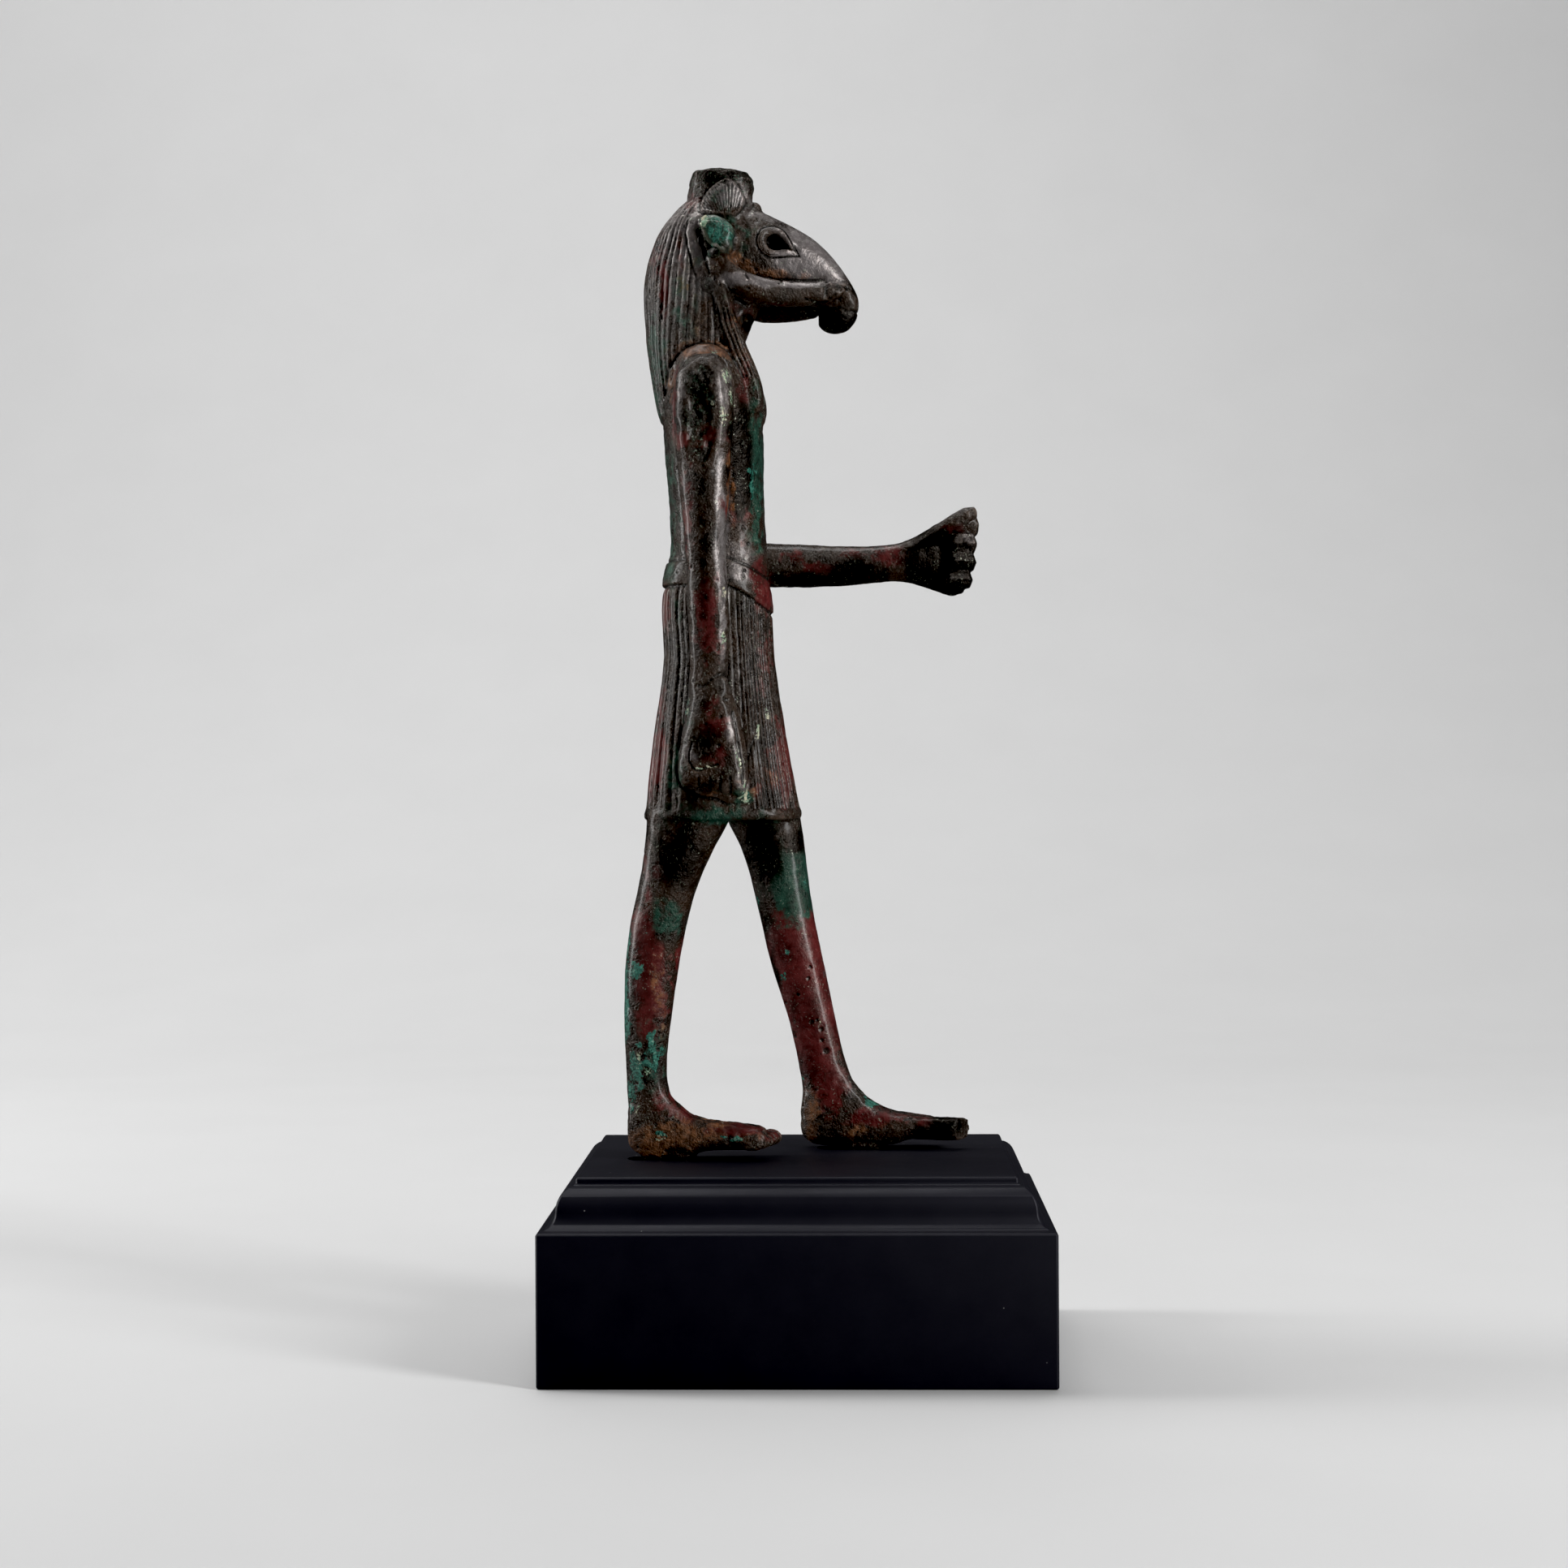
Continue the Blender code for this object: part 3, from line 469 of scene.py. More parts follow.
class Zones:
    """Where each worked part of the figure is, as shares from 0 to 1 for every point of its skin.

    lock, tress, pleat and boss_line count the cut lines across those parts.
    """

    def __init__(self, place, normal):
        self.place = place
        self.normal = normal
        x, y, z = place.T
        side = np.abs(y)
        self.flank = ease(np.abs(normal[:, 1]), 0.15, 0.5)
        self.near = ease(-normal[:, 1], -0.35, 0.15)
        hairline = column(z, HAIRLINE)
        arch = np.interp(x, [p[0] for p in ARCH], [p[1] for p in ARCH])
        self.shoulder = ease(arch - z, -0.2, 0.3) * ease(side, 9.0, 11.0) * (z > 100)
        crown = ((x - 1.8) / 7.9) ** 2 + (y / 6.9) ** 2
        self.crown = ease(crown, 1.1, 0.9) * ease(z, 203.2, 204.2)
        self.ear = ease(from_outline(x, z, EAR), 0.15, -0.25) * ease(side, 11.0, 12.0)
        self.horn = ease(from_path(place, HORN), 3.5, 3.0) * (x > 0) * (1 - self.ear)
        boss = from_outline(x, z, BOSS)
        self.boss = ease(boss, 0.1, -0.3) * ease(side, 1.5, 3.0) * (1 - self.crown) * ease(z, 199.4, 200.4)
        self.band = ease(from_line(x, z, BAND), 1.45, 1.0) * ease(side, 6.0, 8.0)
        self.band = self.band * (1 - self.ear) * (1 - self.boss)
        hair = ease(hairline - x, -0.2, 0.4) * ease(z, 158.4, 159.2) * (1 - self.shoulder) * (z < 208)
        hair = hair * (1 - self.crown) * (1 - self.ear) * (1 - self.horn) * (1 - self.band) * (1 - self.boss)
        rows = ((159.0, 8.9), (162.4, 9.0), (166.5, 7.8), (171.5, 5.6), (177.0, 3.6), (183.0, 2.2))
        middle = column(z, rows)
        spread = column(z, ((159.0, 8.8), (166.5, 10.0), (171.5, 11.0), (183.0, 11.6)))
        strap = ((x - middle) / 3.4) ** 2 + ((side - spread) / 5.6) ** 2
        lappet = ease(strap, 1.1, 0.9) * ease(z, 159.6, 160.4) * ease(z, 184.0, 178.0) * ease(x, -1.5, 0.5)
        self.lappet = lappet * (1 - self.shoulder) * (1 - self.horn)
        self.hair = hair * (1 - self.lappet)
        sway = 0.30 * (lumps(place * (1, 1, 0.35), 4.0, 3) - 0.5)
        self.lock = np.arctan2(side, 1.5 - x) * 10.5 + sway
        self.tress = np.arctan2(side - spread, (x - middle) * 1.3) * 2.9 + 0.5 * sway
        foot = np.interp(x, [p[0] for p in BELT_FOOT], [p[1] for p in BELT_FOOT])
        # The kilt's cross-section is a superellipse. Its pleats are evenly spaced along that line.
        rows = ((73.7, 1.35), (87.0, 0.8), (99.0, 0.75), (107.0, 0.85), (116.0, 0.25), (121.0, 0.3))
        middle = column(z, rows)
        rows = ((73.7, 16.65), (87.0, 14.9), (99.0, 13.05), (107.0, 11.85), (116.0, 12.05), (121.0, 11.8))
        reach = column(z, rows)
        skew = 0.11 * np.clip((124.0 - z) / 50.0, 0.0, 1.0) * x
        power = 2.6
        half_depth, half_width = 14.0, 14.3
        around = (x - middle) / reach
        out = (y - skew) / half_width
        size = (np.abs(around) ** power + np.abs(out) ** power) ** (1 / power)
        self.skirt = ease(size, 0.86, 0.92) * ease(size, 1.07, 1.03)
        self.skirt = self.skirt * ease(z, 74.4, 75.0) * ease(foot - z, -0.1, 0.3)
        turn = np.arctan2(np.abs(out), -around)
        angles = np.linspace(0.0, math.pi, 400)
        edge = (np.abs(np.cos(angles)) ** power + np.abs(np.sin(angles)) ** power) ** (-1 / power)
        forward = np.diff(-half_depth * edge * np.cos(angles))
        sideways = np.diff(half_width * edge * np.sin(angles))
        run = np.hypot(forward, sideways)
        girth = np.interp(turn, angles, np.concatenate(([0.0], np.cumsum(run))))
        front_starts = 1.975
        wide_pleat, fine_pleat = 1.72, 0.86
        self.front_cloth = ease(turn, 1.95, 2.0)
        self.pleat = np.where(turn < front_starts, girth / wide_pleat, girth / fine_pleat)
        self.pit = ease(from_outline(x, z, PIT), 0.3, -0.5) * ease(-y, 16.0, 18.0)
        self.hand = ease(z, 104.0, 100.0) * ease(z, 73.0, 75.0)
        self.hand = self.hand * ease(side, 12.6, 14.0) * (y < 0) * ease(np.abs(x), 11.0, 9.5)
        self.boss_line = np.arctan2(x - 3.6, z - 196.6) * 13.0 + sway
        self.stump = ease(x, 54.3, 54.9) * ease(z, 20.0, 10.0)


def relief(zones):
    """How far each point is raised, in millimetres, and how much of it is a cut that holds dirt."""
    place = zones.place
    x, y, z = place.T
    side = np.abs(y)
    height = np.zeros(len(x))
    dirt = np.zeros(len(x))

    def cut(share, depth):
        nonlocal height, dirt
        height = height - share * depth
        dirt = np.maximum(dirt, share)

    deep = 0.25 + 0.95 * hash_of(zones.lock)
    cut(zones.hair * groove(zones.lock, 0.6) * deep, 0.50)
    cut(zones.lappet * groove(zones.tress, 0.8), 0.42)
    height += 0.16 * zones.band
    edge = ease(np.abs(from_line(x, z, BAND) - 1.5), 0.42, 0.1) * ease(side, 6.0, 8.0) * (1 - zones.ear)
    cut(edge * ease(z, 186.0, 191.0) * (1 - zones.boss), 0.22)
    worn = 1 - 0.75 * ease(np.hypot((x - 6.5) / 5.0, (z - 84.0) / 11.0), 1.0, 0.6) * (y < 0)
    worn = worn * (1 - ease(np.abs(x - 1.0), 7.4, 5.8) * ease(z, 81.0, 79.6) * (y < 0))
    cut(zones.skirt * (1 - zones.front_cloth) * groove(zones.pleat, 0.34) * worn * 0.8, 0.50)
    cut(zones.skirt * zones.front_cloth * groove(zones.pleat, 1.2) * worn, 0.32)
    for line in (BELT_TOP, BELT_FOOT):
        cut(ease(from_line(x, z, line), 0.50, 0.12) * (side < 16.5) * ease(x, -14.0, -12.5), 0.34)
    cut(ease(from_line(x, z, WRAP), 0.5, 0.1) * ease(-y, 11.0, 12.5) * zones.skirt, 0.30)
    cut(ease(from_line(x, z, ARCH), 0.50, 0.10) * ease(side, 10.0, 12.0) * zones.flank, 0.35)
    cap = from_line(x, z, CAP)
    cut(ease(cap, 0.55, 0.1) * ease(side, 17.0, 18.5) * zones.flank, 0.30)
    hole = from_outline(x, z, PIT)
    lip = ease(np.abs(hole - 0.9), 1.2, 0.2) * ease(-y, 20.0, 22.0)
    height += 0.30 * lip * (0.5 + 1.0 * lumps(place, 1.4, 5))
    height += zones.pit * (0.9 * (lumps(place, 1.5, 6) - 0.55) + 0.5 * (lumps(place, 0.8, 7) - 0.5))
    dirt = np.maximum(dirt, zones.pit * ease(lumps(place, 1.1, 8), 0.6, 0.35))
    eye = from_drop(x, z, EYE_HOLE)
    rim = from_drop(x, z, EYE_RIM)
    on_face = ease(side, 3.5, 4.5) * ease(side, 11.5, 10.5)
    height += 0.16 * ease(eye, 0.0, 0.4) * ease(rim, -0.05, -0.45) * on_face
    cut(ease(np.abs(rim), 0.45, 0.05) * on_face, 0.20)
    cut(ease(eye, 0.2, -0.5) * on_face, 1.5)
    cut(ease(from_line(x, z, MOUTH), 0.45, 0.1) * (x > 19.5), 0.22)
    cut(ease(from_line(x, z, JAW_FOLD), 0.8, 0.15) * ease(side, 4.0, 5.0) * (1 - 0.9 * zones.horn), 0.55)
    cut(ease(from_line(x, z, CHEEK_FOLD), 0.55, 0.1) * ease(side, 4.0, 5.5) * (1 - 0.7 * zones.horn), 0.30)
    cut(ease(np.hypot(x - 28.6, (z - 186.2) / 0.7), 1.1, 0.5) * ease(side, 0.9, 1.4), 0.35)
    cut(zones.boss * groove(zones.boss_line, 0.7) * (0.5 + lumps(place, 2.0, 24)), 0.14)
    brim = from_outline(x, z, BOSS)
    welt = ease(np.abs(brim + 0.45), 0.5, 0.1)
    height += 0.28 * welt * ease(side, 1.5, 3.0) * (z > 201.0) * (1 - zones.ear)
    cut(ease(np.abs(brim - 0.25), 0.4, 0.05) * ease(side, 1.5, 3.0) * (z > 201.0) * (z < 208.6), 0.25)
    height += 0.30 * ease(from_outline(x, z, EAR), 0.0, -0.7) * zones.ear
    cut(ease(np.abs(from_outline(x, z, EAR) - 0.15), 0.5, 0.1) * ease(side, 11.0, 12.0) * (z > 193.0), 0.35)
    cut(ease(from_line(x, z, EAR_HOLLOW), 0.95, 0.35) * ease(side, 8.5, 9.5), 1.1)
    height -= 0.03 * zones.horn * groove(x / 1.9 + 0.4 * lumps(place, 2.0, 11), 3.0)
    for crack in HORN_CRACKS:
        cut(ease(from_line(x, z, crack), 0.34, 0.08) * zones.horn, 0.30)
    tip = ease(x, 21.5, 24.5) * zones.horn
    height += tip * 0.8 * (lumps(place, 1.0, 12) - 0.6)
    dirt = np.maximum(dirt, tip * ease(lumps(place, 1.0, 12), 0.45, 0.25))
    patch = ease(np.hypot((x - 7.6) / 3.0, (z - 200.8) / 3.2), 1.1, 0.7) * ease(side, 3.0, 5.0)
    height += patch * 0.45 * (lumps(place, 0.9, 21) - 0.5)
    broken = ease(z, 210.6, 211.6) * zones.crown
    torn = 0.9 * (lumps(place, 1.7, 13) - 0.6)
    height += broken * torn + zones.crown * 0.35 * (lumps(place, 1.3, 14) - 0.5)
    cut(ease(np.abs(z - 209.2 - 0.05 * x), 0.5, 0.1) * zones.crown, 0.12)
    height += zones.stump * 0.2 * (lumps(place, 0.9, 15) - 0.55)
    wrist = ease(np.abs(z - 101.6 - 0.9 * np.sin(x * 0.9) - 0.2 * x), 0.5, 0.1) * ease(-y, 15.5, 17.5)
    cut(wrist * ease(np.abs(x - 0.8), 4.2, 3.2), 0.28)
    outer = ease(-y, 15.0, 17.0)
    cut(ease(from_line(x, z, THUMB), 0.5, 0.1) * outer, 0.38)
    cut(ease(from_line(x, z, KNUCKLE), 0.42, 0.08) * outer, 0.34)
    contour = ease(np.abs(from_outline(x, z, HAND) - 0.15), 0.50, 0.10) * ease(-y, 12.5, 13.5)
    cut(contour * ease(z, 95.0, 91.0), 0.45)
    for finger in (-2.6, -0.3, 1.9, 3.9):
        gap = ease(np.abs(x - finger), 0.5, 0.1) * ease(z, 82.4, 81.0) * ease(z, 75.4, 77.0)
        cut(gap * outer, 0.22)
    toes = groove((y + 7.5) / 1.9 + 0.22, 0.7) * ease(x, 8.0, 10.0)
    toes = toes * ease(z, 9.0, 7.0) * (y < -2.0) * (z > 2.5)
    cut(toes * 0.9, 0.45)
    for px, pz, size in DOTS:
        cut(ease(np.hypot(x - px, z - pz), size, size * 0.4) * ease(-zones.normal[:, 1], 0.1, 0.4), 0.30)
    plain = 1 - np.maximum.reduce((zones.skirt, zones.hair, zones.lappet))
    polished = ease(z, 176.0, 182.0) * ease(x, 8.0, 14.0)
    height += 0.20 * (lumps(place, 5.0, 16) - 0.5) * (1 - 0.5 * polished)
    smooth_legs = ease(z, 72.0, 68.0) * ease(z, 12.0, 18.0)
    cast_skin = 0.14 * (lumps(place, 1.6, 17) - 0.5) + 0.09 * (lumps(place, 0.8, 22) - 0.5)
    height += plain * (1 - 0.8 * polished) * (1 - 0.7 * smooth_legs) * cast_skin
    crust = ease(z, 16.0, 6.0) * ease(z, 1.5, 4.0)
    height += 0.30 * crust * (lumps(place, 1.2, 18) - 0.5)
    spots = lumps(place, 1.3, 19)
    cut(ease(spots, 0.86, 0.97) * (1 - polished) * (1 - 0.6 * smooth_legs) * plain, 0.28)
    return height, dirt


class Edges:
    """The edges of a skin, for means over the points or the edges next to each point."""

    def __init__(self, piece):
        pairs = np.empty(len(piece.data.edges) * 2, np.int32)
        piece.data.edges.foreach_get("vertices", pairs)
        self.first, self.second = pairs.reshape(-1, 2).T
        self.count = np.bincount(pairs, minlength=len(piece.data.vertices)).astype(float)

    def mean(self, for_first, for_second):
        size = len(self.count)
        total = np.bincount(self.first, for_first, size) + np.bincount(self.second, for_second, size)
        return total / self.count

    def around(self, values):
        """The mean value of the points that each point is joined to."""
        return self.mean(values[self.second], values[self.first])


def even_out(points, edges, share, rounds):
    """Relaxes a skin without shrinking it, so that the flats of the solid run into each other."""
    for _ in range(rounds):
        # Each pull inwards is made good by a slightly stronger push outwards.
        for pull in (0.55, -0.575):
            centre = np.column_stack([edges.around(points[:, axis]) for axis in range(3)])
            points = points + pull * share[:, None] * (centre - points)
    return points


def shape_forms(points):
    """Rounds the hand, ears, bosses and horn roots, fills out the fist and slants the broken toe."""
    x, y, z = points.T
    side = np.abs(y)
    out = np.where(y < 0, -1.0, 1.0)
    hand = from_outline(x, z, HAND)
    back_of_hand = -(15.8 + 5.8 * dome(-hand + 0.2, 4.2))
    flush = ease(z, 102.0, 97.0) * (hand < 0.6) * (y < -14.0) * (z > 74.0)
    y = y + flush * np.maximum(back_of_hand - y, 0.0)
    ear = from_outline(x, z, EAR)
    leaf = 12.0 + 2.9 * dome(-ear, 2.8)
    y = y + out * (ear < 0) * (side > 7.4) * np.maximum(leaf - side, 0.0)
    boss = from_outline(x, z, BOSS)
    swell = 6.4 + 2.6 * dome(-boss, 3.2)
    y = y + out * (boss < 0) * (side > 4.5) * (z > 200.5) * np.maximum(swell - side, 0.0)
    root = np.hypot(x - 1.2, z - 189.6)
    bulge = 10.5 + 3.6 * dome(3.8 - root, 3.8)
    y = y + out * (root < 3.8) * (side > 7.4) * np.maximum(bulge - side, 0.0)
    fist = ease(x, 38.0, 52.0) * (z > 112.0)
    z = z + 0.085 * fist * (z - 131.6)
    x = x + 0.25 * fist
    toe = (x > 50.0) & (z < 10.0) & (y > 0)
    x = np.where(toe, np.minimum(x, 51.0 + 0.8 * (y - 2.1)), x)
    return np.column_stack((x, y, z))


def soften(points, edges, share, rounds):
    """Wears a skin down where share is above 0."""
    for _ in range(rounds):
        for axis in range(3):
            points[:, axis] += 0.6 * share * (edges.around(points[:, axis]) - points[:, axis])
    return points


def skin(piece):
    """Points and outward normals of a piece, in millimetres about the figure's stance."""
    mesh = piece.data
    points = np.empty(len(mesh.vertices) * 3, np.float32)
    mesh.vertices.foreach_get("co", points)
    normals = np.empty(len(mesh.vertices) * 3, np.float32)
    mesh.vertices.foreach_get("normal", normals)
    points = (points.reshape(-1, 3).astype(float) - np.array(STANCE)) * 1000.0
    return points, normals.reshape(-1, 3).astype(float)


def set_skin(piece, points):
    """Moves the points of a piece to where millimetres about the stance put them."""
    metres = points / 1000.0 + np.array(STANCE)
    piece.data.vertices.foreach_set("co", metres.astype(np.float32).ravel())
    piece.data.update()


figure = bpy.data.objects.new("cast_figure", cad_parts["statuette"].data.copy())
bpy.context.scene.collection.objects.link(figure)
merge(figure)
corners = skin(figure)[0]
lowest, highest = corners.min(0), corners.max(0)
# The crown's break, the broken toe and the fist keep their edges when the solid is rounded.
sharp_end = (corners[:, 2] > 211.0) | ((corners[:, 0] > 54.0) & (corners[:, 2] < 12.0))
sharp_end |= (corners[:, 0] > 45.0) & (corners[:, 2] > 116.0)
bpy.ops.object.mode_set(mode="EDIT")
bpy.ops.mesh.select_mode(type="EDGE")
bpy.ops.mesh.select_all(action="DESELECT")
bpy.ops.object.mode_set(mode="OBJECT")
for edge in figure.data.edges:
    edge.select = bool(sharp_end[edge.vertices[0]] and sharp_end[edge.vertices[1]])
bpy.ops.object.mode_set(mode="EDIT")
bpy.ops.transform.edge_crease(value=1.0)
bpy.ops.object.mode_set(mode="OBJECT")
rounded = figure.modifiers.new("rounded", "SUBSURF")
rounded.levels = rounded.render_levels = 2
fine = figure.modifiers.new("fine_skin", "REMESH")
fine.mode = "VOXEL"
fine.voxel_size = 0.0003
apply_modifiers(figure)

relax_rounds, wear_rounds = ((30, 8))
points, normals = skin(figure)
edges = Edges(figure)
keep = np.ones(len(points))
keep *= 1 - 0.55 * ease(points[:, 0], 41.0, 45.0) * ease(points[:, 2], 118.0, 120.0)
keep *= 1 - 0.7 * ease(points[:, 2], 207.0, 209.0)
keep *= 1 - 0.8 * ease(points[:, 0], 53.6, 54.6) * ease(points[:, 2], 20.0, 12.0)
points = even_out(points, edges, keep, relax_rounds)
points = shape_forms(points)
carved = Zones(points, normals)
horn_root = np.hypot(points[:, 0] - 1.2, points[:, 2] - 189.6)
worn_smooth = np.maximum(carved.hand, 0.5 * carved.boss * (1 - carved.crown))
worn_smooth = np.maximum(worn_smooth, 0.7 * ease(horn_root, 5.2, 4.2) * (np.abs(points[:, 1]) > 7.0))
set_skin(figure, soften(points, edges, worn_smooth, wear_rounds))
points, normals = skin(figure)
zones = Zones(points, normals)
raised, _ = relief(zones)
# Rounding the solid took about this much off its skin.
taken_off = 0.12
raised += taken_off
set_skin(figure, np.clip(points + normals * raised[:, None], lowest, highest))

figure.data.calc_loop_triangles()
most_triangles = 192000.0
thin = figure.modifiers.new("thin_out", "DECIMATE")
thin.ratio = min(1.0, most_triangles / len(figure.data.loop_triangles))
apply_modifiers(figure)
bpy.ops.object.shade_smooth()
set_skin(figure, np.clip(skin(figure)[0], lowest, highest))
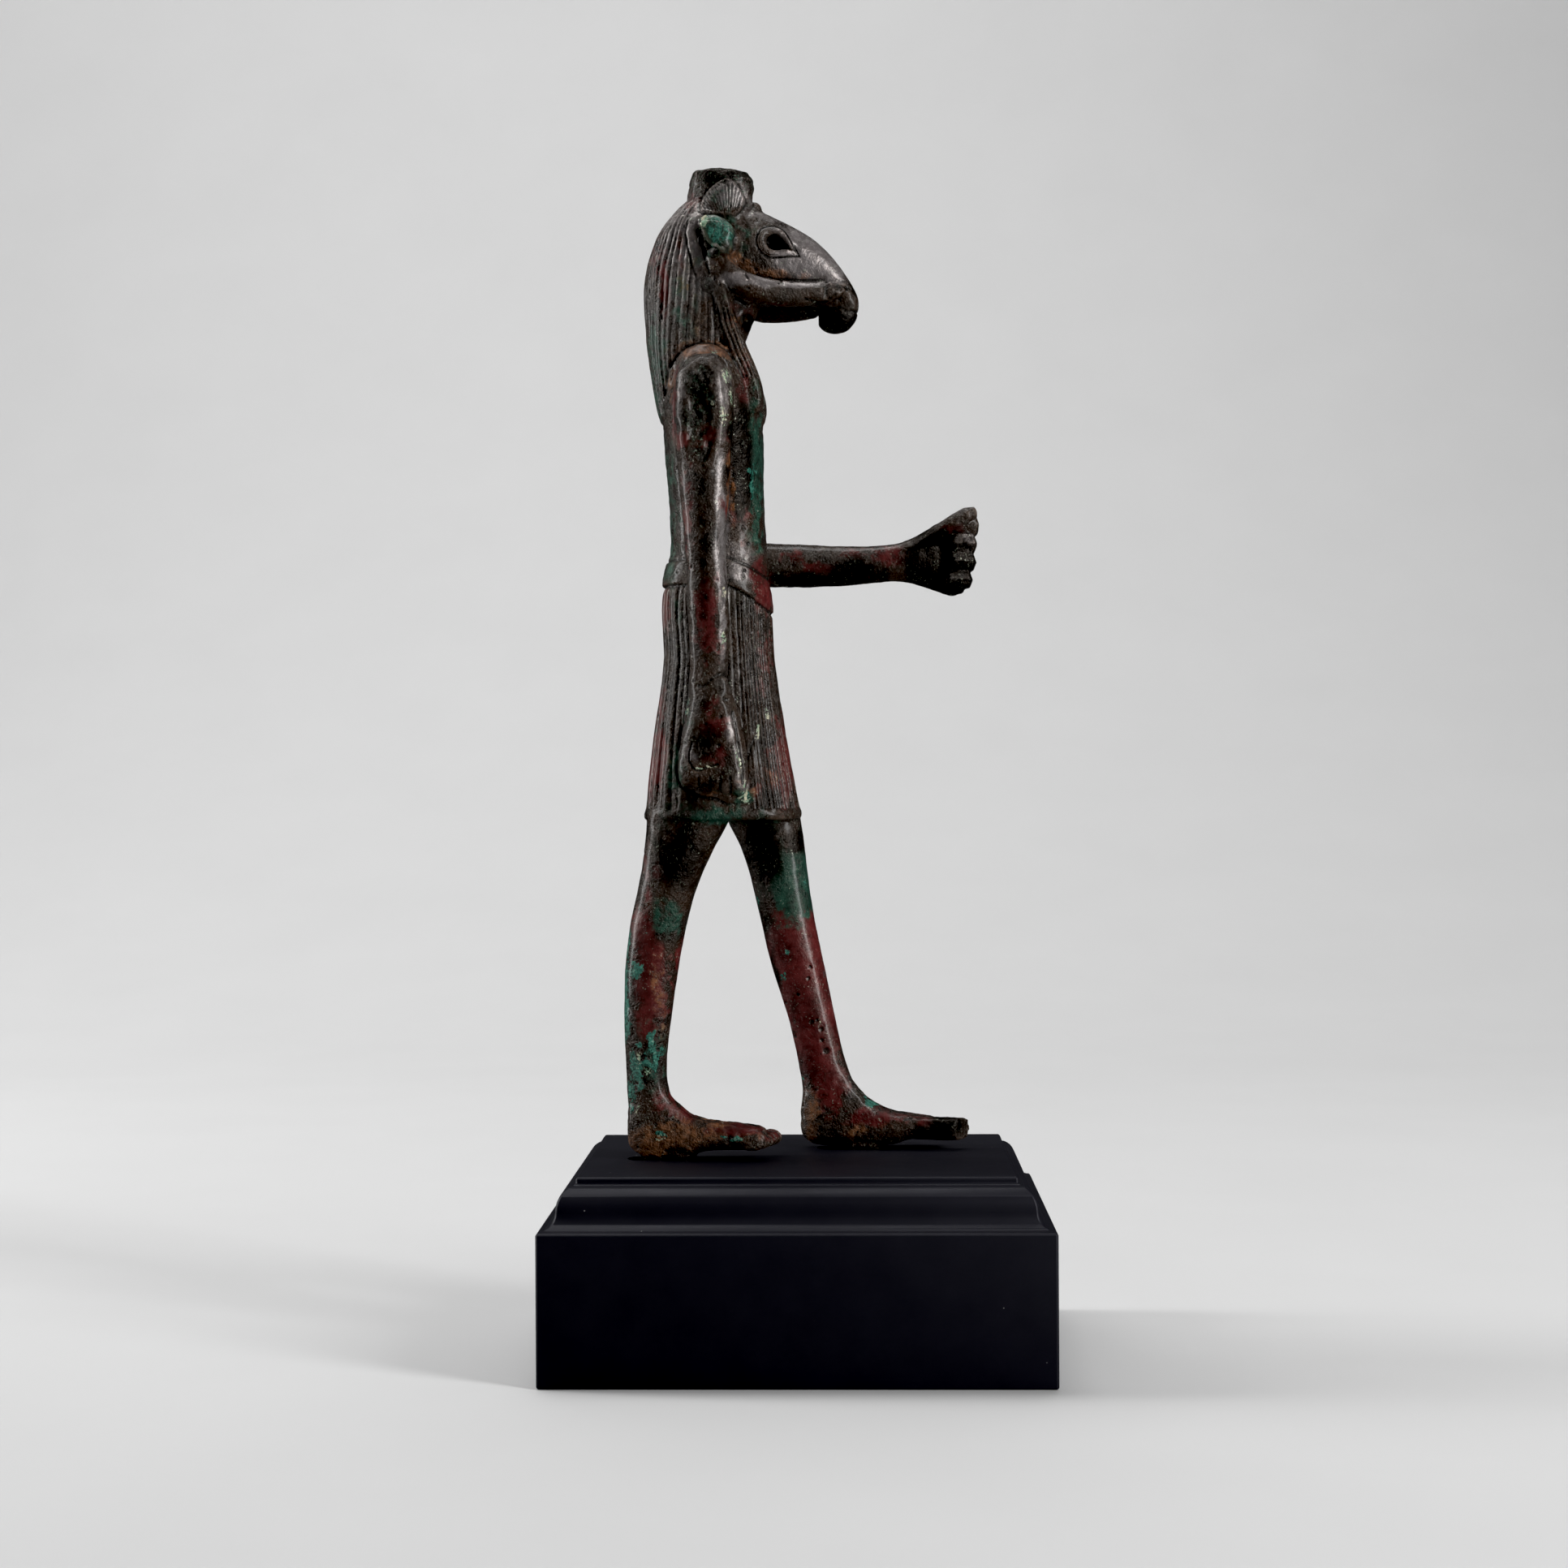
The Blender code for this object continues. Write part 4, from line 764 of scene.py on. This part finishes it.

# Patches of patina, and of painted shade and highlights, as the camera sees them: x, z, half width,
# half height, strength. Some black patches are painted shade: beside the arm, in the ear's hollow, under
# the jaw and chin, on the muzzle's front, in the hands and along the soles. Some bare patches are painted
# highlights: on the muzzle, the wig's top, the arm, the thumb and the knuckles, as are two thin pale
# strokes across the hand.
PATINA_AND_PAINTED_LIGHT = {
    "green": (
        (2.4, 196.4, 4.6, 4.6, 1.2), (-11.5, 172.0, 3.0, 9.0, 0.9), (-12.0, 162.0, 2.5, 6.0, 0.8),
        (-3.0, 178.0, 3.0, 4.5, 0.5), (2.5, 201.6, 4.0, 2.5, 0.5), (6.0, 196.0, 3.5, 4.0, 0.5),
        (8.9, 147.0, 2.3, 13.0, 1.1), (8.6, 134.0, 2.2, 6.0, 0.8), (-9.4, 140.0, 2.6, 16.0, 0.8),
        (-9.8, 125.6, 3.0, 5.0, 0.7), (-8.0, 81.0, 2.4, 7.0, 0.8), (-13.4, 93.0, 1.5, 6.0, 0.7),
        (2.0, 73.6, 9.0, 2.4, 0.9), (-10.0, 72.0, 4.0, 4.0, 0.55), (12.0, 70.0, 4.0, 5.0, 0.55),
        (-12.0, 73.6, 4.0, 1.8, 0.6), (17.0, 58.4, 5.0, 6.6, 1.9), (-6.0, 182.0, 5.0, 13.0, 0.60),
        (6.0, 196.4, 3.4, 4.6, 0.7), (2.6, 203.6, 4.4, 4.6, 0.6), (19.4, 63.0, 2.0, 5.0, 0.6),
        (-9.0, 67.0, 6.0, 3.5, 0.6), (-9.6, 51.0, 3.6, 5.0, 1.0), (8.4, 55.0, 1.6, 9.0, 0.6),
        (-13.6, 22.0, 4.0, 8.0, 0.7), (-2.0, 157.0, 3.0, 8.0, 0.6), (-4.8, 94.6, 1.8, 3.2, 0.8),
        (6.4, 77.2, 1.6, 2.0, 1.1), (-12.6, 110.0, 1.4, 8.0, 0.4), (9.6, 163.0, 1.6, 6.0, 0.5),
        (-7.4, 118.0, 1.6, 6.0, 0.5),
    ),
    "teal": (
        (-1.0, 198.2, 1.6, 2.4, 0.95), (2.2, 196.2, 2.8, 3.2, 1.0), (-19.0, 46.0, 1.5, 6.0, 1.0),
        (-16.8, 40.6, 1.6, 1.9, 1.2), (-19.2, 33.0, 1.7, 9.0, 1.2), (-13.6, 25.4, 1.6, 2.6, 0.9),
        (-16.6, 21.0, 2.2, 5.0, 1.05), (-12.8, 21.4, 1.6, 3.4, 1.0), (-18.0, 13.0, 1.2, 6.0, 0.9),
        (-15.6, 16.0, 1.4, 3.0, 0.9), (3.4, 4.4, 3.0, 1.0, 0.9), (-11.6, 5.4, 1.4, 0.7, 1.1),
        (14.4, 38.0, 1.1, 1.2, 1.0), (15.2, 43.4, 0.8, 0.6, 0.9), (33.2, 10.0, 1.4, 0.8, 1.2),
        (16.4, 18.6, 1.0, 1.0, 0.8), (17.6, 15.8, 1.4, 1.6, 0.7), (10.2, 93.0, 0.9, 2.2, 0.8),
        (6.7, 76.9, 1.0, 1.4, 1.2), (8.7, 146.0, 0.9, 7.0, 0.85), (-5.2, 95.0, 0.9, 1.4, 0.8),
        (1.2, 158.6, 0.8, 0.8, 1.0), (-7.8, 80.0, 1.0, 6.0, 0.5), (-14.2, 49.0, 1.6, 5.0, 0.4),
        (8.6, 53.0, 1.0, 2.0, 0.7), (17.8, 59.5, 2.4, 2.6, 0.45),
    ),
    "red": (
        (-10.2, 185.0, 1.4, 9.0, 0.95), (-11.6, 193.0, 2.0, 6.0, 0.7), (-6.4, 190.0, 1.0, 9.0, 0.6),
        (-4.0, 204.6, 2.2, 2.8, 0.8), (7.2, 166.0, 1.5, 5.0, 0.6), (-7.4, 160.0, 1.0, 9.0, 0.95),
        (-5.6, 151.2, 1.6, 2.2, 1.0), (6.4, 161.6, 1.6, 3.4, 0.8), (-0.4, 152.0, 2.6, 4.0, 0.7),
        (-4.6, 136.0, 1.6, 11.0, 0.7), (4.3, 145.0, 0.9, 11.0, 0.7), (5.8, 137.6, 2.8, 2.8, 1.1),
        (7.2, 132.0, 3.6, 4.0, 0.5), (9.6, 125.6, 1.8, 3.0, 0.95), (11.2, 120.2, 2.0, 3.6, 1.2),
        (-0.6, 115.0, 2.8, 9.0, 0.95), (0.0, 93.0, 3.0, 4.0, 0.8), (1.4, 86.0, 3.0, 2.6, 0.8),
        (9.6, 80.0, 2.6, 4.0, 0.62), (-10.6, 118.0, 1.6, 5.0, 1.1), (-11.2, 97.0, 1.1, 10.0, 0.7),
        (-12.6, 86.0, 2.6, 9.0, 1.15), (14.6, 85.0, 3.0, 10.0, 1.0), (11.0, 106.0, 2.0, 11.0, 0.55),
        (-14.6, 62.0, 1.2, 9.0, 0.8), (-12.2, 62.0, 1.4, 2.6, 0.8), (-15.2, 48.6, 2.8, 5.0, 1.15),
        (-13.6, 38.0, 4.0, 10.0, 1.1), (-6.8, 42.0, 2.0, 8.0, 0.9), (-14.4, 28.0, 2.5, 3.0, 0.9),
        (16.6, 42.0, 5.8, 12.0, 1.8), (21.2, 27.0, 4.6, 11.0, 1.6), (25.0, 14.0, 3.4, 6.0, 1.0),
        (-10.4, 12.0, 3.0, 4.0, 0.8), (-6.2, 9.4, 3.0, 3.0, 0.9), (4.0, 6.6, 8.0, 1.4, 1.0),
        (12.6, 4.6, 2.4, 1.2, 1.0), (23.4, 12.0, 3.6, 5.0, 0.8), (34.0, 7.0, 7.0, 2.6, 0.9),
        (45.0, 6.2, 3.4, 1.6, 0.8), (16.0, 131.0, 3.0, 2.6, 0.7), (22.6, 128.2, 4.0, 2.0, 0.9),
        (30.0, 131.6, 6.0, 2.0, 0.6), (38.0, 131.0, 5.0, 2.4, 0.9), (51.6, 136.4, 3.0, 1.6, 0.9),
        (17.6, 50.4, 1.2, 1.6, 0.9), (6.4, 179.5, 3.6, 3.2, 0.8), (14.0, 181.0, 6.0, 1.2, 0.6),
    ),
    "earth": (
        (7.4, 190.0, 3.6, 1.7, 1.1), (14.0, 188.8, 7.0, 1.3, 0.95), (5.0, 192.0, 1.6, 1.6, 1.0),
        (10.0, 191.4, 5.0, 1.8, 0.45), (6.0, 178.0, 3.0, 5.0, 0.55), (-1.0, 171.2, 7.4, 2.0, 1.3),
        (-8.2, 165.0, 1.4, 4.6, 0.8), (-0.6, 77.8, 3.4, 0.45, 1.1), (-2.0, 8.0, 9.0, 2.2, 0.75),
        (-15.0, 3.4, 4.6, 3.0, 1.5), (-8.0, 5.4, 6.0, 3.0, 1.3), (-11.6, 9.0, 2.0, 4.0, 0.6),
        (-0.4, 5.2, 3.0, 1.6, 0.95), (6.0, 4.6, 5.0, 1.8, 0.6), (20.0, 9.0, 1.8, 4.0, 1.0),
        (20.4, 4.0, 2.0, 2.6, 1.0), (30.0, 4.0, 5.0, 2.0, 0.8), (36.4, 5.0, 4.6, 1.4, 0.7),
        (22.4, 25.0, 1.8, 4.0, 0.4), (4.2, 141.0, 0.8, 9.0, 0.9), (7.6, 80.0, 3.4, 4.0, 0.6),
        (-12.0, 36.0, 2.0, 12.0, 0.66), (-8.4, 27.0, 1.6, 9.0, 0.6), (12.6, 83.0, 2.0, 7.0, 0.6),
        (-9.8, 92.0, 0.9, 12.0, 0.5), (-5.2, 172.0, 3.0, 2.0, 0.5), (-4.4, 186.0, 3.0, 10.0, 0.52),
        (-2.0, 177.0, 3.0, 4.0, 0.6),
    ),
    "black": (
        (-8.0, 65.0, 7.0, 9.0, 0.9), (9.6, 64.4, 4.8, 8.4, 1.1), (17.0, 67.4, 4.0, 3.4, 1.0),
        (9.6, 50.0, 2.4, 10.0, 0.8), (11.6, 38.0, 2.0, 10.0, 0.9), (-2.0, 159.0, 2.6, 8.0, 0.75),
        (0.0, 80.2, 5.0, 1.8, 0.6), (-5.4, 81.6, 1.2, 2.6, 0.6), (-0.6, 89.0, 4.0, 6.0, 0.75),
        (6.6, 195.0, 2.4, 4.6, 0.55), (49.0, 129.6, 8.0, 7.6, 1.4), (54.6, 127.6, 4.0, 6.6, 1.4),
        (17.2, 193.9, 1.2, 0.7, 0.75), (27.0, 179.6, 5.0, 2.4, 1.2), (47.0, 3.8, 7.0, 2.4, 0.9),
        (26.4, 185.2, 2.4, 1.6, 0.7), (-0.8, 126.0, 2.2, 24.0, 0.70), (30.6, 188.4, 1.8, 4.6, 1.1),
        (2.0, 200.6, 3.0, 1.0, 0.7), (49.6, 6.0, 4.2, 3.0, 1.3), (-9.0, 72.0, 7.0, 5.0, 0.6),
        (8.0, 72.0, 6.0, 5.0, 0.55), (24.0, 125.6, 14.0, 2.0, 1.0), (14.0, 179.2, 10.0, 1.8, 1.6),
        (24.6, 182.2, 3.0, 0.7, 1.1), (30.0, 127.6, 9.0, 3.4, 0.9), (-14.6, 70.0, 1.6, 6.0, 0.8),
        (6.4, 148.0, 2.0, 12.0, 1.6), (-2.3, 196.2, 0.6, 1.4, 1.6), (-1.1, 193.9, 0.6, 1.2, 1.6),
        (0.5, 192.1, 0.8, 0.5, 1.4), (2.0, 211.0, 7.0, 1.8, 1.4), (20.0, 54.0, 2.4, 2.4, 0.6),
        (24.0, 1.0, 6.0, 1.6, 1.1), (-13.0, 0.8, 6.0, 1.2, 0.9), (16.6, 30.0, 1.4, 9.0, 0.5),
        (5.2, 146.0, 1.2, 13.0, 1.3), (7.0, 141.0, 1.4, 14.0, 0.6), (16.0, 126.5, 4.0, 2.4, 0.6),
        (-1.5, 96.0, 2.0, 5.0, 0.6), (2.4, 209.6, 7.0, 2.6, 0.7),
    ),
    "pale": (
        (-1.5, 198.9, 0.55, 1.2, 2.2), (6.4, 76.9, 0.8, 0.9, 1.3), (9.3, 91.0, 0.5, 1.5, 1.2),
        (11.0, 94.2, 0.4, 1.1, 1.1), (3.6, 164.6, 0.8, 1.4, 0.9), (4.6, 160.4, 0.5, 1.6, 0.9),
        (3.5, 156.0, 0.8, 1.8, 1.0), (1.0, 158.4, 0.4, 0.5, 1.1), (-2.2, 83.1, 1.0, 0.16, 1.1),
        (0.2, 84.0, 1.2, 0.16, 1.1), (5.6, 84.6, 0.3, 2.6, 0.9), (6.6, 80.0, 0.4, 1.2, 0.9),
        (-5.0, 95.4, 0.5, 1.2, 0.9), (-16.2, 22.0, 0.5, 1.2, 1.1), (-15.0, 19.2, 0.9, 0.5, 1.1),
        (-11.8, 5.2, 1.2, 0.5, 1.2), (-16.8, 11.0, 0.5, 0.8, 0.9), (2.9, 119.6, 0.4, 1.2, 0.9),
        (3.1, 110.6, 0.4, 1.4, 0.9), (0.6, 170.2, 0.7, 0.4, 0.8), (22.2, 28.2, 0.3, 0.3, 0.8),
    ),
    "bare_and_highlight": (
        (21.6, 193.8, 7.0, 5.0, 1.9), (26.0, 189.0, 3.0, 3.0, 1.0), (13.0, 201.8, 6.0, 1.8, 0.9),
        (12.0, 186.4, 10.0, 1.3, 1.5), (4.6, 205.8, 3.4, 3.0, 1.3), (3.2, 160.0, 1.8, 8.0, 0.7),
        (-5.6, 163.0, 1.2, 5.0, 0.6), (6.2, 128.6, 4.0, 5.4, 0.65), (6.0, 124.4, 3.4, 2.4, 0.75),
        (2.5, 139.0, 1.2, 12.0, 1.0), (2.0, 126.0, 1.0, 7.0, 0.9), (2.5, 114.0, 0.7, 9.0, 0.9),
        (-2.0, 171.0, 8.0, 1.8, 0.8), (0.0, 8.6, 9.0, 1.4, 0.5), (7.0, 105.0, 5.0, 12.0, 0.4),
        (-5.0, 198.0, 5.5, 7.0, 1.5), (-6.0, 188.0, 6.0, 12.0, 0.7), (-3.0, 176.0, 7.0, 6.0, 0.4),
        (-9.4, 128.0, 2.4, 3.0, 0.5), (20.6, 49.0, 2.0, 8.0, 0.5), (22.4, 36.0, 1.6, 9.0, 0.7),
        (28.0, 13.0, 2.0, 4.0, 0.6), (55.6, 134.6, 1.6, 3.0, 0.7), (4.0, 92.0, 0.9, 4.0, 0.8),
        (5.6, 85.6, 0.9, 5.0, 0.85), (6.6, 80.0, 1.1, 2.6, 0.8), (-4.4, 86.2, 1.2, 2.2, 0.8),
        (-2.0, 81.4, 1.6, 0.8, 0.6),
    ),
}


def patches(zones, spots, seed):
    """Paint strength of one list of patches: patina, with painted shade among the black ones and painted
    highlights among the bare and pale ones. Away from the camera the same patches lie shifted and broken.
    """
    place = zones.place
    far = 1.0 - zones.near
    drift = [9.0 * (lumps(place, 11.0, seed + i) - 0.5) * far for i in (0, 1)]
    x = place[:, 0] + 1.4 * (lumps(place, 2.6, seed + 2) - 0.5) + drift[0]
    z = place[:, 2] + 1.4 * (lumps(place, 2.6, seed + 3) - 0.5) + 1.6 * drift[1]
    paint = np.zeros(len(x))
    for middle, height, wide, tall, strength in spots:
        away = ((x - middle) / wide) ** 2 + ((z - height) / tall) ** 2
        paint = np.maximum(paint, strength * np.exp(-0.7 * away))
    return paint * (1.0 - 0.35 * far)


def bending(points, normals, edges):
    """How sharply the skin bends at each point, above 0 on ridges and below 0 in hollows."""
    run = points[edges.first] - points[edges.second]
    long = (run * run).sum(1)
    lift = sum((points[:, axis] - edges.around(points[:, axis])) * normals[:, axis] for axis in range(3))
    bend = lift / edges.mean(long, long)
    for _ in range(2):
        bend = 0.5 * bend + 0.5 * edges.around(bend)
    return bend


def paint_mesh(piece, name, layers):
    """Keeps three shares per point under one name, for the finish to read."""
    layer = piece.data.attributes.new(name, "FLOAT_COLOR", "POINT")
    values = np.ones((len(piece.data.vertices), 4), np.float32)
    for i, shares in enumerate(layers):
        values[:, i] = shares
    layer.data.foreach_set("color", values.ravel())


points, normals = skin(figure)
zones = Zones(points, normals)
_, dirt = relief(zones)
x, y, z = points.T
paint = {name: patches(zones, spots, 30 + 5 * i) for i, (name, spots) in enumerate(PATINA_AND_PAINTED_LIGHT.items())}
paint["green"] = np.maximum(paint["green"], 0.45 * zones.band + 1.0 * zones.ear)
paint["green"] = paint["green"] * (1 - 0.8 * zones.horn)
paint["bare_and_highlight"] = np.maximum(paint["bare_and_highlight"], 0.6 * zones.stump + 0.2 * zones.horn)
# Below 1 mm the figure is painted black: painted shade along the soles where they meet the base.
paint["black"] = np.maximum(paint["black"] * (1 - zones.stump), ease(z, 1.0, 0.3))
paint["earth"] = paint["earth"] * ease(z, 0.3, 1.2)
paint_mesh(figure, "patina_one", (paint["green"], paint["teal"], paint["red"]))
# Earth, black patina with painted shade, and bare metal with painted highlights.
paint_mesh(figure, "patina_and_painted_light", (paint["earth"], paint["black"], paint["bare_and_highlight"]))
bend = bending(points, normals, Edges(figure))
# Ridges, hollows and pale specks; two thin pale strokes on the hand are painted highlights.
paint_mesh(figure, "wear_and_highlight", (ease(bend, 0.04, 0.30), ease(-bend, 0.04, 0.30), paint["pale"]))
under_hand = ease(np.abs(x - 1.0), 7.4, 5.8) * (z < 80.4) * (y < 0)
arch_band = zones.shoulder * ease(from_outline(x, z, CAP), 0.3, 0.8)
arch_band = arch_band * ease(z, 158.0, 162.0) * (np.abs(y) > 10.0)
lines = zones.hair + zones.lappet + zones.skirt * (1 - under_hand) + 0.8 * zones.boss + 0.8 * arch_band
corroded = zones.pit + 0.5 * zones.stump + zones.crown + 0.6 * zones.ear
paint_mesh(figure, "chasing", (dirt, np.clip(lines, 0, 1), np.clip(corroded, 0, 1)))
strand = figure.data.attributes.new("strand", "FLOAT", "POINT")
phase = np.where(zones.skirt > 0.05, zones.pleat, np.where(zones.lappet > 0.5, zones.tress, zones.lock))
phase = np.where(arch_band > 0.5, from_line(x, z, ARCH) / 0.62, phase)
phase = np.where(zones.boss > 0.5, zones.boss_line, phase)
strand.data.foreach_set("value", phase.astype(np.float32))

bronze = Finish("patinated_bronze")


def layer_of(name):
    """The three painted shares kept under a name."""
    kept = bronze.node("ShaderNodeAttribute", {"attribute_name": name}, output="Vector")
    return [bronze.node("ShaderNodeSeparateXYZ", {}, {"Vector": kept}, output) for output in ("X", "Y", "Z")]


green, teal, red = layer_of("patina_one")
earth, black, bare_and_highlight = layer_of("patina_and_painted_light")
cuts, worked, rough = layer_of("chasing")
ridge, hollow, pale = layer_of("wear_and_highlight")
cloud = bronze.ease(bronze.grain(7.0, 4.0, 0.6), 0.32, 0.68)
fleck = bronze.ease(bronze.grain(1.5, 4.0, 0.65), 0.32, 0.68)
speck = bronze.ease(bronze.grain(0.5, 3.0, 0.6), 0.32, 0.68)
mist = bronze.ease(bronze.grain(3.2, 5.0, 0.62, 0.4), 0.34, 0.66)


def ragged(share, low, high, fray):
    """A painted share with a broken edge."""
    return bronze.ease(share + fray * (0.65 * mist + 0.35 * fleck - 0.5), low, high)


is_bare_and_highlight = ragged(bare_and_highlight, 0.30, 0.90, 0.45)
is_red = ragged(red, 0.38, 0.80, 0.65)
is_earth = ragged(earth, 0.46, 0.95, 0.65)
is_green = ragged(green, 0.40, 0.90, 0.7)
is_black = ragged(black, 0.35, 0.90, 0.5)
is_teal = ragged(teal, 0.66, 0.80, 1.0)
is_pale = bronze.ease(pale + 0.9 * (speck - 0.5), 0.62, 0.80)

colour = bronze.blend(cloud, (0.004, 0.002, 0.001), (0.030, 0.014, 0.007))
colour = bronze.blend(fleck * 0.30, colour, (0.032, 0.027, 0.020))
# Bare, worn metal, and painted highlights on the muzzle, the wig's top, the arm, the thumb and the knuckles.
bare_and_highlight_colour = bronze.blend(fleck, (0.180, 0.160, 0.156), (0.265, 0.242, 0.240))
colour = bronze.blend(is_bare_and_highlight * 0.85, colour, bare_and_highlight_colour)
cuprite = bronze.blend(0.4 * fleck + 0.6 * cloud, (0.036, 0.004, 0.004), (0.140, 0.018, 0.018))
colour = bronze.blend(is_red, colour, cuprite)
malachite = bronze.blend(0.5 * fleck + 0.5 * mist, (0.002, 0.012, 0.008), (0.018, 0.082, 0.054))
colour = bronze.blend(is_green, colour, malachite)
# Black patina, and painted shade beside the arm, in the ear's hollow, under the jaw, in the hands and at the
# soles.
black_and_shade_colour = bronze.blend(fleck, (0.001, 0.001, 0.0008), (0.009, 0.006, 0.004))
colour = bronze.blend(is_black, colour, black_and_shade_colour)
soil = bronze.blend(fleck, (0.050, 0.017, 0.006), (0.280, 0.115, 0.045))
colour = bronze.blend(is_earth * 0.78, colour, soil)
crust = bronze.blend(speck, (0.010, 0.060, 0.045), (0.045, 0.240, 0.180))
colour = bronze.blend(is_teal, colour, crust)
colour = bronze.blend(ridge * (0.15 + 0.45 * fleck) * (1 - is_black), colour, (0.130, 0.092, 0.070))
colour = bronze.blend(bronze.ease(cuts + 0.6 * hollow, 0.30, 0.9) * 0.85, colour, (0.003, 0.003, 0.002))
glitter = rough * bronze.ease(speck, 0.70, 0.85) * bronze.ease(fleck, 0.3, 0.6)
colour = bronze.blend(glitter * 0.6, colour, (0.045, 0.085, 0.060))
glint = bronze.ease(speck, 0.93, 0.99) * bronze.ease(mist, 0.55, 0.80)
colour = bronze.blend(glint * 0.5, colour, (0.42, 0.46, 0.36))
# Pale specks and chips, and two thin pale strokes on the hand that are painted highlights.
colour = bronze.blend(is_pale, colour, bronze.blend(fleck, (0.20, 0.36, 0.24), (0.66, 0.60, 0.44)))

spot = {"Vector": bronze.place()}
forward = (bronze.node("ShaderNodeSeparateXYZ", {}, spot) - STANCE.x) * 1000.0
above_feet = (bronze.node("ShaderNodeSeparateXYZ", {}, spot, "Z") - STANCE.z) * 1000.0


def drop_edge(drop):
    """The finish's own measure of how far a point lies from the edge of a drop."""
    (mx, mz), radius, (tx, tz) = drop
    length = math.hypot(tx - mx, tz - mz)
    dx, dz = forward - mx, above_feet - mz
    along = (dx * (tx - mx) + dz * (tz - mz)) / length
    aside = (dx * (tz - mz) - dz * (tx - mx)) / length
    aside = aside.maths("ABSOLUTE", aside)
    lean = radius / length
    upright = math.sqrt(1.0 - lean * lean)
    flank = upright * aside + lean * along - radius
    ball = (along * along + aside * aside) ** 0.5 - radius
    on_flank = along.maths("GREATER_THAN", upright * along, lean * aside)
    return ball + on_flank * (flank - ball)


lid = drop_edge(EYE_RIM)
lid_line = bronze.ease(lid.maths("ABSOLUTE", lid), 0.22, 0.08)
inner_lid = lid + 0.62
inner_line = bronze.ease(inner_lid.maths("ABSOLUTE", inner_lid), 0.15, 0.05)
inner_line = inner_line * bronze.ease(forward, 14.5, 12.0)
socket = bronze.ease(drop_edge(EYE_HOLE), 0.15, -0.10)
cut_eye = lid_line.maths("MAXIMUM", lid_line, 0.8 * inner_line)
colour = bronze.blend(cut_eye.maths("MAXIMUM", cut_eye, socket) * 0.95, colour, (0.002, 0.001, 0.001))

strands = bronze.node("ShaderNodeAttribute", {"attribute_name": "strand"}, output="Fac")
turns = strands * math.pi
wave = turns.maths("SINE", turns)
wave = wave.maths("ABSOLUTE", wave)
pits = bronze.ease(speck, 0.10, 0.02)
height = (
    (0.16 * fleck + 0.08 * speck) * (1 - 0.85 * is_bare_and_highlight) * (1 - 0.8 * is_red) * (1 - 0.6 * is_black)
    + 0.10 * worked * (wave ** 0.5)
    - 0.16 * cut_eye
    - 0.07 * pits * (1 - 0.7 * is_bare_and_highlight)
    + is_teal * (0.10 + 0.12 * fleck)
    + is_earth * 0.14 * fleck
    + rough * 0.30 * bronze.grain(0.8, 3.0, 0.6)
    + 0.25 * bronze.grain(2.4, 2.0)
    + 0.05 * bronze.grain(0.35, 2.0)
)
bronze.set(
    Base_Color=colour,
    Metallic=0.30 * is_bare_and_highlight + 0.62 * is_black,
    Roughness=(
        0.29 - 0.04 * is_bare_and_highlight + 0.14 * (fleck - 0.5)
        + 0.25 * is_earth + 0.25 * is_teal + 0.10 * is_green + 0.12 * is_red
    ),
    Specular_IOR_Level=0.47,
    Specular_Tint=(1.0, 0.90, 0.82, 1.0),
    Coat_Weight=0.26 - 0.25 * is_black,
    Coat_Roughness=0.18,
    Normal=bronze.bump(height),
)
figure.data.materials.clear()
figure.data.materials.append(bronze.material)
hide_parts("statuette")
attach(figure, "root")
